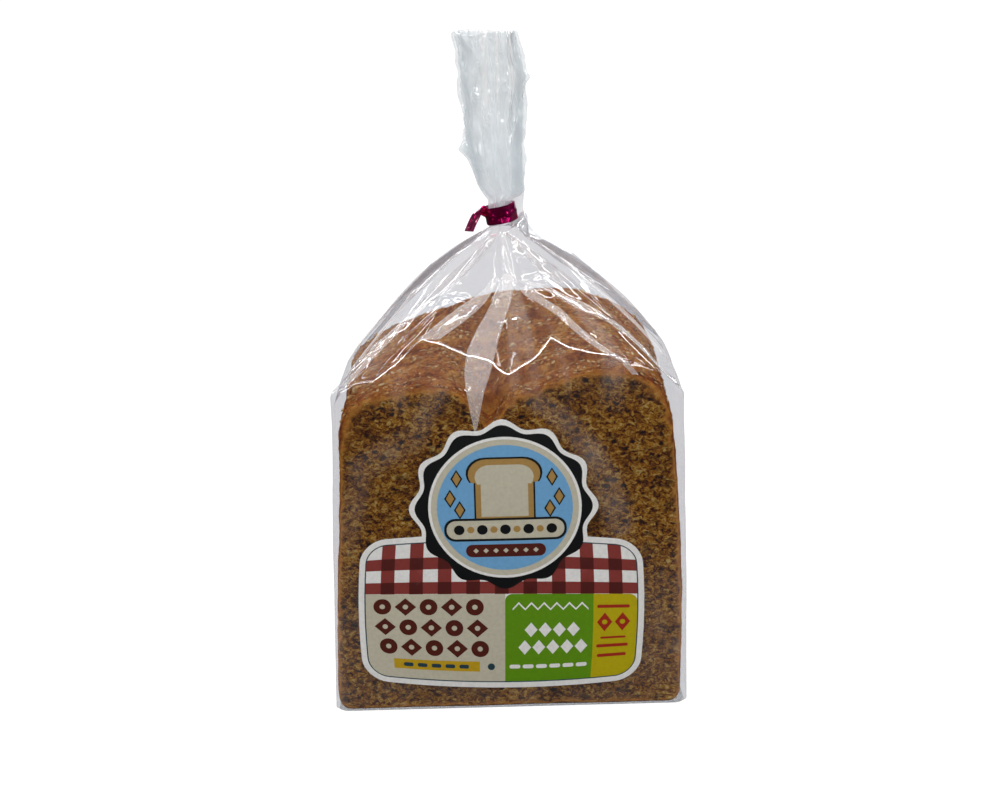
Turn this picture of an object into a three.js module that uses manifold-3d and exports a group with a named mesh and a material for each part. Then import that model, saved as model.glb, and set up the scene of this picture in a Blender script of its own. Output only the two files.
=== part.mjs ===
// A small sliced wholemeal loaf in a clear film bag, standing upright on its bottom crust.
// The film is wrapped close round the block of slices, rises over the crust in a dome of folds, is
// gathered into a neck by a foil twist tie, and ends in a ruffled tail. A die-cut paper label, a round
// scalloped badge on a rounded panel, is stuck to the front. The sealed bag is one solid out to its film.
// Millimetres, +Z up, the front face towards -Y, and the origin under the middle of the bag on the table.

import * as THREE from "three";
import { mergeVertices } from "three/addons/utils/BufferGeometryUtils.js";
import Module from "manifold-3d";

const wasm = await Module();
wasm.setup();

// The block of slices as the film wraps it
const FOOT_HALF_WIDTH = 58;
const SHOULDER_HALF_WIDTH = 56.2;
const HALF_DEPTH = 50;
const CORNER_RADIUS = 3.5;
const FOOT_ROUNDING = 1;
const FACE_BULGE = 2.4;
const SIDE_BULGE = 1;
const BULGE_HEIGHT = 112;
// How far the shoulders stand to the right of the foot
const LEAN = 1.2;
// Where the film leaves the loaf: it bridges the crease between the low left hump and the high right one
const RIM_X = [-57, -48, -28, -7, 14, 34, 48, 57];
const RIM_Z = [98, 106.5, 111.5, 108, 112, 116, 112.5, 102.5];
// The pointed ears of film at the four corners, above or below that rim
const FRONT_LEFT_EAR = 11;
const FRONT_RIGHT_EAR = 3;
const BACK_LEFT_EAR = -4;
const BACK_RIGHT_EAR = -3;

// The dome of film between the loaf and the neck
const NECK_FOOT = 151.4;
const NECK_TOP = 160.6;
const NECK_RADIUS = 4.15;
const NECK_CENTRE_X = 0.6;
// How straight the film runs from rim to neck: 1 is a straight line, less is a fuller curve
const STRAIGHTNESS_LEFT = 0.78;
const STRAIGHTNESS_RIGHT = 0.72;
const STRAIGHTNESS_FACE = 0.9;
const STRAIGHTNESS_CORNER = 1.05;
const FULLNESS_AT_NECK = 0.42;
const DOME_FOLD_DEPTH = 2.4;
// The folds of the dome are deepest at this power of the way up, and rings crowd towards the rim
const DOME_FOLD_POWER = 1.6;
const DOME_RING_POWER = 1.15;
// The loose puff of film that stands up beside the tie on the right, where the dome ends
const DOME_END = 0.9;
const PUFF_TURN = 0.27;
const PUFF_WIDTH = 0.11;
const PUFF_HEIGHT = 5.6;
const PUFF_REACH = 9.4;
const PUFF_INSIDE = 6.3;
const COLLAR_OUTSIDE = 6.2;
const COLLAR_INSIDE = 4.65;
const COLLAR_DROP = 0.8;

// The gathered film: folds round the neck, and the tail above the tie
const FOLDS = 12;
const FOLD_UNEVENNESS = 0.35;
const NECK_FOLD_DEPTH = 0.5;
const TAIL_FOLD_DEPTH = 2.2;
const TAIL_TOP = 216;
const TAIL_HALF_DEPTH = 6.4;
const TAIL_MOUTH_DEPTH = 5;
const MOUTH_INSET = 0.9;
const TAIL_MOUTH_WAVE = 0.5;
// Half the tail's width, and how far its middle stands to the side, at these shares of its height
const TAIL_SHARE = [0, 0.04, 0.1, 0.22, 0.32, 0.54, 0.75, 0.9, 1];
const TAIL_HALF_WIDTH = [4.15, 6.9, 8, 9.6, 10.4, 10.9, 11.5, 11, 10.7];
const TAIL_MIDDLE_X = [0.6, 1.7, 0.8, -0.1, -0.8, -0.8, -0.9, -1.8, -2.6];
// Small pointed folds that stick out of the tail: turn round the tail, share of its height, and reach
const TAIL_POINTS = [
  [0.75, 0.31, 3.4],
  [0.25, 0.73, 2.6],
  [0.75, 0.965, 1.6],
];
const TAIL_POINT_TURN = 0.025;
const TAIL_POINT_SHARE = 0.04;
const TAIL_WAVE = 0.45;
const TAIL_WAVES_UP = 3;
const TAIL_WAVES_ROUND = 6;
const TAIL_OPENING_SHARE = 0.25;

// How finely the film is divided
const FACE_DIVISIONS = 20;
const SIDE_DIVISIONS = 17;
const CORNER_DIVISIONS = 3;
const BODY_RINGS = 6;
const DOME_RINGS = 15;
const COLLAR_RINGS = 4;
const NECK_RINGS = 3;
const TAIL_RINGS = 15;

// The label and its badge, measured on the flat sheet
const LABEL_GAP = 0.32;
const LABEL_THICKNESS = 0.4;
const SHEET_FOOT = 3;
const SHEET_TOP = 106;
const SHEET_COLUMNS = 16;
const SHEET_ROWS = 14;
const CUTTER_DEPTH = 20;
const LABEL_TILT = THREE.MathUtils.degToRad(-1.3);
const PANEL_MIDDLE_X = -2.5;
const PANEL_MIDDLE_Z = 34.9;
const PANEL_HALF_WIDTH = 46.3;
const PANEL_HALF_HEIGHT = 26.7;
const PANEL_RADIUS = 8;
// How much the panel's height and width shrink towards its corners, so that its sides bow outwards
const PANEL_BOW_HEIGHT = 0.11;
const PANEL_BOW_WIDTH = 0.03;
const PANEL_POINTS = 72;
const BADGE_MIDDLE_X = -0.9;
const BADGE_MIDDLE_Z = 70.2;
const BADGE_RADIUS = 28.9;
const SCALLOPS = 12;
const SCALLOP_DEPTH = 1.4;
const BADGE_POINTS = 96;

// The foil twist tie
const RIBBON_WIDTH = 5.8;
const RIBBON_THICKNESS = 0.4;
const WIRE_THICKNESS = 0.8;
const LOOP_RADIUS = 4.95;
const LOOP_HEIGHT = 156.3;
const LOOP_SLOPE = 0.19;
const LOOP_STATIONS = 36;
const END_STATIONS = 9;
const END_ROOT_HALF_WIDTH = 1.2;
// Points along the tie's two ends, from the loop outwards
const FRONT_END = [
  [-3.8, -2.2, 156.4],
  [-6, -3.6, 158.2],
  [-8, -5, 155.6],
  [-10, -6.6, 151.6],
];
const BACK_END = [
  [-1.6, 4.2, 156.4],
  [-0.6, 6.4, 157.6],
  [1, 8.4, 156.2],
  [2.6, 10.6, 153.4],
];

const material = (color, roughness, metalness) =>
  new THREE.MeshStandardMaterial({ color, roughness, metalness });

// A value read off a row of named heights or widths, smooth between them
function smoothRow(positions, values) {
  const row = new THREE.CubicInterpolant(positions, values, 1);
  const last = positions.length - 1;
  return (at) =>
    row.evaluate(THREE.MathUtils.clamp(at, positions[0], positions[last]))[0];
}

// Joins rings of points into one skin. Each ring runs anticlockwise round the direction of travel.
// A loop joins its last ring to its first, and anything else is closed by a cap at each end.
function skin(rings, loop = false) {
  const size = rings[0].length;
  const points = rings.flat();
  const faces = [];
  const spans = loop ? rings.length : rings.length - 1;
  for (let k = 0; k < spans; k++) {
    const here = k * size;
    const next = ((k + 1) % rings.length) * size;
    for (let i = 0; i < size; i++) {
      const j = (i + 1) % size;
      faces.push([here + i, here + j, next + j]);
      faces.push([here + i, next + j, next + i]);
    }
  }
  if (!loop) {
    const end = (rings.length - 1) * size;
    const foot = points.push(middleOf(rings[0])) - 1;
    const top = points.push(middleOf(rings.at(-1))) - 1;
    for (let i = 0; i < size; i++) {
      const j = (i + 1) % size;
      faces.push([foot, j, i]);
      faces.push([top, end + i, end + j]);
    }
  }
  const geometry = new THREE.BufferGeometry().setFromPoints(points);
  return geometry.setIndex(faces.flat());
}

function middleOf(ring) {
  const sum = ring.reduce((total, p) => total.add(p), new THREE.Vector3());
  return sum.divideScalar(ring.length);
}

function solidOf(geometry) {
  const bare = geometry.clone();
  bare.deleteAttribute("normal");
  bare.deleteAttribute("uv");
  const merged = mergeVertices(bare, 1e-4);
  return new wasm.Manifold(
    new wasm.Mesh({
      numProp: 3,
      vertProperties: new Float32Array(merged.attributes.position.array),
      triVerts: new Uint32Array(merged.index.array),
    }),
  );
}

function geometryOf(solid) {
  const { vertProperties, triVerts } = solid.getMesh();
  return new THREE.BufferGeometry()
    .setAttribute("position", new THREE.BufferAttribute(vertProperties, 3))
    .setIndex(new THREE.BufferAttribute(triVerts, 1));
}

// The bag, from the table to the mouth of its tail

const rimHeight = smoothRow(RIM_X, RIM_Z);
const tailHalfWidth = smoothRow(TAIL_SHARE, TAIL_HALF_WIDTH);
const tailMiddleX = smoothRow(TAIL_SHARE, TAIL_MIDDLE_X);

// The outline of the block seen from above, starting at the middle of the front
function blockOutline() {
  const straightX = SHOULDER_HALF_WIDTH - CORNER_RADIUS;
  const straightY = HALF_DEPTH - CORNER_RADIUS;
  const path = new THREE.Path()
    .moveTo(0, -HALF_DEPTH)
    .lineTo(straightX, -HALF_DEPTH);
  const corners = [
    [straightX, -straightY, -Math.PI / 2],
    [straightX, straightY, 0],
    [-straightX, straightY, Math.PI / 2],
    [-straightX, -straightY, Math.PI],
  ];
  for (const [x, y, from] of corners)
    path.absarc(x, y, CORNER_RADIUS, from, from + Math.PI / 2);
  path.lineTo(0, -HALF_DEPTH);
  const divisions = [
    FACE_DIVISIONS / 2,
    CORNER_DIVISIONS,
    SIDE_DIVISIONS,
    CORNER_DIVISIONS,
    FACE_DIVISIONS,
    CORNER_DIVISIONS,
    SIDE_DIVISIONS,
    CORNER_DIVISIONS,
    FACE_DIVISIONS / 2,
  ];
  return path.curves.flatMap((curve, i) =>
    curve.getPoints(divisions[i]).slice(0, -1),
  );
}

// How far the film stands out over the middle of a face
function bulge(across, halfAcross, z) {
  const sideways = Math.max(0, 1 - (across / halfAcross) ** 2);
  const upwards = Math.max(0, Math.sin((Math.PI * z) / BULGE_HEIGHT));
  return sideways * Math.sqrt(upwards);
}

function frontFace(x, z) {
  const outlineX = x - LEAN * Math.min(1, z / RIM_Z[0]);
  return -HALF_DEPTH - FACE_BULGE * bulge(outlineX, SHOULDER_HALF_WIDTH, z);
}

// The height at which the film leaves the block, higher or lower where it forms an ear at a corner
function rim(outline) {
  const right = outline.x > 0;
  const front = outline.y < 0;
  const ear = front
    ? right ? FRONT_RIGHT_EAR : FRONT_LEFT_EAR
    : right ? BACK_RIGHT_EAR : BACK_LEFT_EAR;
  return rimHeight(outline.x) + ear * cornering(outline);
}

// 1 at the corners of the block and close to 0 elsewhere
function cornering(outline) {
  const x = Math.abs(outline.x / SHOULDER_HALF_WIDTH);
  const y = Math.abs(outline.y / HALF_DEPTH);
  return (x * y) ** 5;
}

function blockPoint(outline, z, inset = 0) {
  const height = Math.min(1, z / RIM_Z[0]);
  const widening = THREE.MathUtils.lerp(
    FOOT_HALF_WIDTH,
    SHOULDER_HALF_WIDTH,
    height,
  );
  const acrossX = outline.x / SHOULDER_HALF_WIDTH;
  const acrossY = outline.y / HALF_DEPTH;
  const out = FACE_BULGE * bulge(outline.x, SHOULDER_HALF_WIDTH, z);
  const sideOut = SIDE_BULGE * bulge(outline.y, HALF_DEPTH, z);
  return new THREE.Vector3(
    acrossX * (widening - inset) + sideOut * acrossX ** 5 + LEAN * height,
    acrossY * (HALF_DEPTH - inset) + out * acrossY ** 5,
    z,
  );
}

// 1 on the ridge of a fold and 0 in the valley beside it, with ridges of uneven width
function fold(turn) {
  const uneven = turn * FOLDS + FOLD_UNEVENNESS * Math.sin(6 * Math.PI * turn);
  return 1 - Math.abs(Math.sin(Math.PI * uneven));
}

// A bump of 1 at a turn round the bag, fading to nothing either side
function bumpRound(turn, at, width) {
  const away = Math.abs(turn - at);
  return Math.exp(-((Math.min(away, 1 - away) / width) ** 2));
}

function gatheredPoint(turn, halfWidth, halfDepth, middleX, depth, z) {
  const angle = 2 * Math.PI * turn - Math.PI / 2;
  const inwards = depth * (1 - fold(turn));
  return new THREE.Vector3(
    middleX + (halfWidth - inwards) * Math.cos(angle),
    (halfDepth - inwards * (halfDepth / halfWidth)) * Math.sin(angle),
    z,
  );
}

function neckPoint(turn, z) {
  return gatheredPoint(
    turn,
    NECK_RADIUS,
    NECK_RADIUS,
    NECK_CENTRE_X,
    NECK_FOLD_DEPTH,
    z,
  );
}

function straightness(outline, share) {
  const side = outline.x > 0 ? STRAIGHTNESS_RIGHT : STRAIGHTNESS_LEFT;
  const facing = (outline.y / HALF_DEPTH) ** 2;
  const along = THREE.MathUtils.lerp(side, STRAIGHTNESS_FACE, facing);
  const foot = THREE.MathUtils.lerp(
    along,
    STRAIGHTNESS_CORNER,
    cornering(outline),
  );
  return foot * (1 - FULLNESS_AT_NECK * share);
}

// From the rim of the block up to the neck, with folds that fade downwards
function domePoint(outline, turn, share) {
  const foot = blockPoint(outline, rim(outline));
  const head = neckPoint(turn, NECK_FOOT);
  const z = THREE.MathUtils.lerp(
    foot.z,
    head.z,
    share ** straightness(outline, share),
  );
  const point = foot.lerp(head, share).setZ(z);
  const fading = Math.sin(Math.PI * share ** DOME_FOLD_POWER);
  const inwards = DOME_FOLD_DEPTH * (1 - fold(turn)) * fading;
  const outwards = new THREE.Vector3(point.x, point.y, HALF_DEPTH).normalize();
  return point.addScaledVector(outwards, -inwards);
}

// A small collar under the tie. On the right it goes out, up past the tie's edge and back down inside.
function collarPoint(turn, share) {
  const puff = bumpRound(turn, PUFF_TURN, PUFF_WIDTH);
  const plain = THREE.MathUtils.lerp(COLLAR_OUTSIDE, COLLAR_INSIDE, share);
  const puffed = THREE.MathUtils.lerp(PUFF_REACH, PUFF_INSIDE, share);
  const radius = THREE.MathUtils.lerp(plain, puffed, puff);
  const arch = Math.sin(Math.PI * THREE.MathUtils.lerp(0.3, 0.9, share));
  const angle = 2 * Math.PI * turn - Math.PI / 2;
  return new THREE.Vector3(
    NECK_CENTRE_X + radius * Math.cos(angle),
    radius * Math.sin(angle),
    NECK_FOOT - COLLAR_DROP * (1 - share) + PUFF_HEIGHT * arch * puff,
  );
}

// The tail's small waves and the few folds that stick out of it in points
function ruffle(turn, share) {
  const wave = Math.sin(
    2 * Math.PI * (TAIL_WAVES_UP * share + TAIL_WAVES_ROUND * turn),
  );
  const points = TAIL_POINTS.map(
    ([at, height, reach]) =>
      reach *
      bumpRound(turn, at, TAIL_POINT_TURN) *
      Math.exp(-(((share - height) / TAIL_POINT_SHARE) ** 2)),
  );
  return points.reduce((sum, reach) => sum + reach, TAIL_WAVE * wave);
}

function tailPoint(turn, share, inset = 0, sink = 0) {
  const opening = Math.min(1, share / TAIL_OPENING_SHARE);
  const out = opening * ruffle(turn, share) - inset;
  const mouthWave = TAIL_MOUTH_WAVE * Math.sin(4 * Math.PI * turn) * share ** 6;
  return gatheredPoint(
    turn,
    tailHalfWidth(share) + out,
    THREE.MathUtils.lerp(NECK_RADIUS, TAIL_HALF_DEPTH, opening) + out / 2,
    tailMiddleX(share),
    THREE.MathUtils.lerp(NECK_FOLD_DEPTH, TAIL_FOLD_DEPTH, opening),
    THREE.MathUtils.lerp(NECK_TOP, TAIL_TOP - sink, share) + mouthWave,
  );
}

function bag() {
  const outline = blockOutline();
  const rings = [];
  const addRing = (place) =>
    rings.push(outline.map((p, i) => place(p, i / outline.length)));
  addRing((p) => blockPoint(p, 0, FOOT_ROUNDING));
  for (let k = 0; k <= BODY_RINGS; k++)
    addRing((p) =>
      blockPoint(
        p,
        THREE.MathUtils.lerp(FOOT_ROUNDING, rim(p), k / BODY_RINGS),
      ),
    );
  for (let k = 1; k <= DOME_RINGS; k++)
    addRing((p, turn) =>
      domePoint(p, turn, DOME_END * (k / DOME_RINGS) ** DOME_RING_POWER),
    );
  for (let k = 0; k < COLLAR_RINGS; k++)
    addRing((_, turn) => collarPoint(turn, k / (COLLAR_RINGS - 1)));
  for (let k = 0; k <= NECK_RINGS; k++)
    addRing((_, turn) =>
      neckPoint(turn, THREE.MathUtils.lerp(NECK_FOOT, NECK_TOP, k / NECK_RINGS)),
    );
  for (let k = 1; k <= TAIL_RINGS; k++)
    addRing((_, turn) => tailPoint(turn, k / TAIL_RINGS));
  addRing((_, turn) => tailPoint(turn, 1, MOUTH_INSET));
  addRing((_, turn) => tailPoint(turn, 1, 2 * MOUTH_INSET, TAIL_MOUTH_DEPTH));
  return new THREE.Mesh(skin(rings), material(0xb98c5c, 0.35, 0));
}

// The label: its flat outline cut out of a thin sheet that follows the bulging front of the bag

// A flat shape drawn across and upwards, given depth towards -Y
function cutter(shape) {
  const geometry = new THREE.ExtrudeGeometry(shape, {
    depth: CUTTER_DEPTH,
    bevelEnabled: false,
  });
  geometry.rotateX(Math.PI / 2);
  geometry.translate(0, -HALF_DEPTH + CUTTER_DEPTH / 2, 0);
  return solidOf(geometry);
}

// A rounded rectangle whose four sides bow outwards
function panelShape() {
  const straightX = PANEL_HALF_WIDTH - PANEL_RADIUS;
  const straightZ = PANEL_HALF_HEIGHT - PANEL_RADIUS;
  const quarter = Math.PI / 2;
  const path = new THREE.Path()
    .moveTo(0, -PANEL_HALF_HEIGHT)
    .lineTo(straightX, -PANEL_HALF_HEIGHT)
    .absarc(straightX, -straightZ, PANEL_RADIUS, -quarter, 0)
    .absarc(straightX, straightZ, PANEL_RADIUS, 0, quarter)
    .absarc(-straightX, straightZ, PANEL_RADIUS, quarter, 2 * quarter)
    .absarc(-straightX, -straightZ, PANEL_RADIUS, 2 * quarter, 3 * quarter)
    .lineTo(0, -PANEL_HALF_HEIGHT);
  const points = Array.from({ length: PANEL_POINTS }, (_, i) => {
    const p = path.getPointAt(i / PANEL_POINTS);
    const narrowing = 1 - PANEL_BOW_WIDTH * (p.y / PANEL_HALF_HEIGHT) ** 2;
    const lowering = 1 - PANEL_BOW_HEIGHT * (p.x / PANEL_HALF_WIDTH) ** 2;
    return new THREE.Vector2(p.x * narrowing, p.y * lowering)
      .rotateAround(new THREE.Vector2(), LABEL_TILT)
      .add(new THREE.Vector2(PANEL_MIDDLE_X, PANEL_MIDDLE_Z));
  });
  return new THREE.Shape(points);
}

function badgeShape() {
  const points = Array.from({ length: BADGE_POINTS }, (_, i) => {
    const angle = (2 * Math.PI * i) / BADGE_POINTS;
    const radius = BADGE_RADIUS + SCALLOP_DEPTH * Math.cos(SCALLOPS * angle);
    return new THREE.Vector2(
      BADGE_MIDDLE_X + radius * Math.cos(angle),
      BADGE_MIDDLE_Z + radius * Math.sin(angle),
    );
  });
  return new THREE.Shape(points);
}

// A sheet of paper over the whole front, one gap in front of the film
function frontSheet() {
  const edge = SHOULDER_HALF_WIDTH - CORNER_RADIUS;
  const rings = Array.from({ length: SHEET_COLUMNS + 1 }, (_, i) => {
    const x = THREE.MathUtils.lerp(-edge, edge, i / SHEET_COLUMNS);
    const side = (out) =>
      Array.from({ length: SHEET_ROWS + 1 }, (_, k) => {
        const z = THREE.MathUtils.lerp(SHEET_FOOT, SHEET_TOP, k / SHEET_ROWS);
        return new THREE.Vector3(x, frontFace(x, z) - out, z);
      });
    return [
      ...side(LABEL_GAP),
      ...side(LABEL_GAP + LABEL_THICKNESS).reverse(),
    ];
  });
  return solidOf(skin(rings));
}

function label() {
  const outline = cutter(panelShape()).add(cutter(badgeShape()));
  const paper = frontSheet().intersect(outline);
  return new THREE.Mesh(geometryOf(paper), material(0xd8d6d0, 0.5, 0));
}

// The twist tie: a foil ribbon with a wire down its middle, looped round the neck, with two short ends

// The ribbon's section at a station: flat, with the wire as a low ridge on both faces
function ribbonSection(centre, across, out, halfWidth = RIBBON_WIDTH / 2) {
  const flat = RIBBON_THICKNESS / 2;
  const wire = WIRE_THICKNESS / 2;
  const profile = [
    [-halfWidth, -flat],
    [-wire, -flat],
    [0, -wire],
    [wire, -flat],
    [halfWidth, -flat],
    [halfWidth, flat],
    [wire, flat],
    [0, wire],
    [-wire, flat],
    [-halfWidth, flat],
  ];
  return profile.map(([w, t]) =>
    centre.clone().addScaledVector(across, w).addScaledVector(out, t),
  );
}

function ribbonLoop() {
  const up = new THREE.Vector3(-LOOP_SLOPE, 0, 1).normalize();
  const rings = Array.from({ length: LOOP_STATIONS }, (_, i) => {
    const angle = (2 * Math.PI * i) / LOOP_STATIONS;
    const x = LOOP_RADIUS * Math.cos(angle);
    const y = LOOP_RADIUS * Math.sin(angle);
    const centre = new THREE.Vector3(
      NECK_CENTRE_X + x,
      y,
      LOOP_HEIGHT + LOOP_SLOPE * x,
    );
    const out = new THREE.Vector3(x, y, 0).normalize();
    return ribbonSection(centre, up, out);
  });
  return solidOf(skin(rings, true));
}

// One end of the ribbon along a bent path. It leaves the loop upright and narrow, and turns on its way
// until its width lies along acrossEnd.
function ribbonEnd(path, acrossEnd) {
  const curve = new THREE.CatmullRomCurve3(
    path.map((p) => new THREE.Vector3(...p)),
  );
  const rings = Array.from({ length: END_STATIONS + 1 }, (_, i) => {
    const share = i / END_STATIONS;
    const tangent = curve.getTangentAt(share);
    const turned = Math.min(1, 2 * share);
    const across = new THREE.Vector3(0, 0, 1).lerp(acrossEnd, turned);
    across.addScaledVector(tangent, -across.dot(tangent)).normalize();
    const halfWidth = THREE.MathUtils.lerp(
      END_ROOT_HALF_WIDTH,
      RIBBON_WIDTH / 2,
      turned,
    );
    const out = tangent.clone().cross(across);
    return ribbonSection(curve.getPointAt(share), across, out, halfWidth);
  });
  return solidOf(skin(rings));
}

function twistTie() {
  const tie = ribbonLoop()
    .add(ribbonEnd(FRONT_END, new THREE.Vector3(0.4, -0.9, 0)))
    .add(ribbonEnd(BACK_END, new THREE.Vector3(0.9, 0.4, 0)));
  return new THREE.Mesh(geometryOf(tie), material(0x8d0e4a, 0.25, 0.9));
}

const loafInBag = new THREE.Group();
for (const [name, mesh] of Object.entries({
  bag: bag(),
  label: label(),
  twist_tie: twistTie(),
})) {
  mesh.name = name;
  loafInBag.add(mesh);
}
const middle = new THREE.Box3()
  .setFromObject(loafInBag)
  .getCenter(new THREE.Vector3());
loafInBag.position.set(-middle.x, -middle.y, 0);

export default loafInBag;
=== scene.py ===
import math
import random

import bpy
import numpy as np
from mathutils import Matrix, Vector, geometry, noise


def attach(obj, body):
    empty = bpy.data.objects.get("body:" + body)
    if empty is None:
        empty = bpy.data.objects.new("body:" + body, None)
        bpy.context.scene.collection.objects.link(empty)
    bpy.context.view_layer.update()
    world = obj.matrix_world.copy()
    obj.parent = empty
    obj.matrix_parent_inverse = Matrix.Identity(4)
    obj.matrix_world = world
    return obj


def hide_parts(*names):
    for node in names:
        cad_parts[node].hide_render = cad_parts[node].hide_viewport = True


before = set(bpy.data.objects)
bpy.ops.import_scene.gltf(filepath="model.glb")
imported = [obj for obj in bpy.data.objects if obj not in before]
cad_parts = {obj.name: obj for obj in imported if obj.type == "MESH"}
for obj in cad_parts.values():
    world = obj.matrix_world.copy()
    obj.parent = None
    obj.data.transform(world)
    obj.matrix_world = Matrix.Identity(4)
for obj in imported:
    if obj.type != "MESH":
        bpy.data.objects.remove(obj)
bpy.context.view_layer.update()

# The slices
# One wholemeal pan loaf cut by machine into seven slices, which stand on their bottom crust and lean
# together. The cut faces are open crumb. The crust is thin and dark under and beside the loaf, and thick,
# wrinkled and golden over the two humps, which meet in a crease where the dough was split before baking.

MM = 0.001
# The frame's origin is the middle of the whole part's box, this far from the middle of the loaf's foot
MIDDLE_IN_FRAME = np.array([-0.27, 0.36, 0.0])

SLICES = 7
SLICE_THICKNESS = 13.45
SLICE_PITCH = 13.85
FIRST_CUT = -49.3
LOAF_FOOT = 0.4
LOAF_HALF_WIDTH = 56.5
FOOT_CORNER = 3.0
FACE_MIDDLE_Z = 55.0
# The left and right sides of a slice at these heights
SIDE_HEIGHTS = [4, 38, 72, 97]
LEFT_SIDE = [-57.2, -56.0, -53.8, -53.0]
RIGHT_SIDE = [56.1, 56.7, 55.5, 54.0]
# The top crust from left to right: the low left hump, the crease and the high right hump
CRUST_X = [-53, -50.6, -45.7, -33, -23.4, -15.5, -9.4, -5.8]
CRUST_X += [-2.5, 1.7, 11.3, 20.8, 30.3, 39.8, 47.6, 51.7, 54]
CRUST_Z = [95.5, 102.4, 106.1, 109, 110.4, 108.6, 102.6, 96.6]
CRUST_Z += [99.4, 105.4, 109.1, 112.6, 114.4, 113.6, 109.9, 105, 96.5]
# The same line in the slices near the back, where the loaf has one broad crown, and how far back that is
CROWN_Z = [101, 103.5, 107.4, 113.6, 116.6, 119.2, 121.8, 123]
CROWN_Z += [123.6, 124, 124.4, 124.2, 122.2, 118, 112.6, 107.5, 102]
CROWN_FROM, CROWN_TO = -48, 26
# The heel is lower than the crown, and its back swells out
HEEL_DROP, HEEL_SWELL = 5.5, 2.2
# How deep the crumb is browned under the crust
BROWNED_ON_TOP, BROWNED_AT_SIDES = 2.9, 1.6
AROUND_SLICE, FACE_RINGS, CRUST_ROWS, HEEL_ROWS = 700, 104, 15, 40


def smooth_row(places, values, at):
    """Values named at a row of places, smooth between them."""
    places, values = np.array(places, float), np.array(values, float)
    at = np.clip(at, places[0], places[-1])
    k = np.clip(np.searchsorted(places, at, side="right") - 1, 0, len(places) - 2)
    start, end = places[k], places[k + 1]
    before = np.where(k > 0, places[np.maximum(k - 1, 0)], 2 * start - end)
    after = np.where(k < len(places) - 2, places[np.minimum(k + 2, len(places) - 1)], 2 * end - start)
    value_before = np.where(k > 0, values[np.maximum(k - 1, 0)], values[k])
    value_after = np.where(k < len(places) - 2, values[np.minimum(k + 2, len(places) - 1)], values[k + 1])
    half = (end - start) / 2
    w_before, w_after = half / (start - before), half / (after - end)
    p = (at - start) / (end - start)
    return (
        (-w_before * p**3 + 2 * w_before * p**2 - w_before * p) * value_before
        + ((1 + w_before) * p**3 + (-1.5 - 2 * w_before) * p**2 + (w_before - 0.5) * p + 1) * values[k]
        + ((-1 - w_after) * p**3 + (1.5 + w_after) * p**2 + 0.5 * p) * values[k + 1]
        + (w_after * p**3 - w_after * p**2) * value_after
    )


def mix(a, b, share):
    return a + (b - a) * share


def linear(colour):
    """An sRGB hex colour as the linear RGBA that shaders take."""
    parts = [int(colour[i : i + 2], 16) / 255 for i in (1, 3, 5)]
    return [c / 12.92 if c <= 0.04045 else ((c + 0.055) / 1.055) ** 2.4 for c in parts] + [1.0]


def finish_named(name):
    """A new material with an empty node tree."""
    material = bpy.data.materials.new(name)
    material.use_nodes = True
    material.node_tree.nodes.clear()
    return material


def add_node(material, kind, inputs=None, steps=(), **settings):
    """Adds a node. Each input is given a constant, a hex colour, a socket, or a node, of which the first
    output in use is taken. A colour ramp is also given its steps, as (position, hex)."""
    node = material.node_tree.nodes.new(f"ShaderNode{kind}")
    for key, value in settings.items():
        setattr(node, key, value)
    for key, value in (inputs or {}).items():
        if isinstance(value, bpy.types.Node):
            value = next(output for output in value.outputs if output.enabled)
        if isinstance(value, bpy.types.NodeSocket):
            material.node_tree.links.new(value, node.inputs[key])
        else:
            node.inputs[key].default_value = linear(value) if isinstance(value, str) else value
    if steps:
        elements = node.color_ramp.elements
        while len(elements) < len(steps):
            elements.new(1.0)
        for element, (position, colour) in zip(elements, steps):
            element.position = position
            element.color = linear(colour)
    return node


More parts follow.
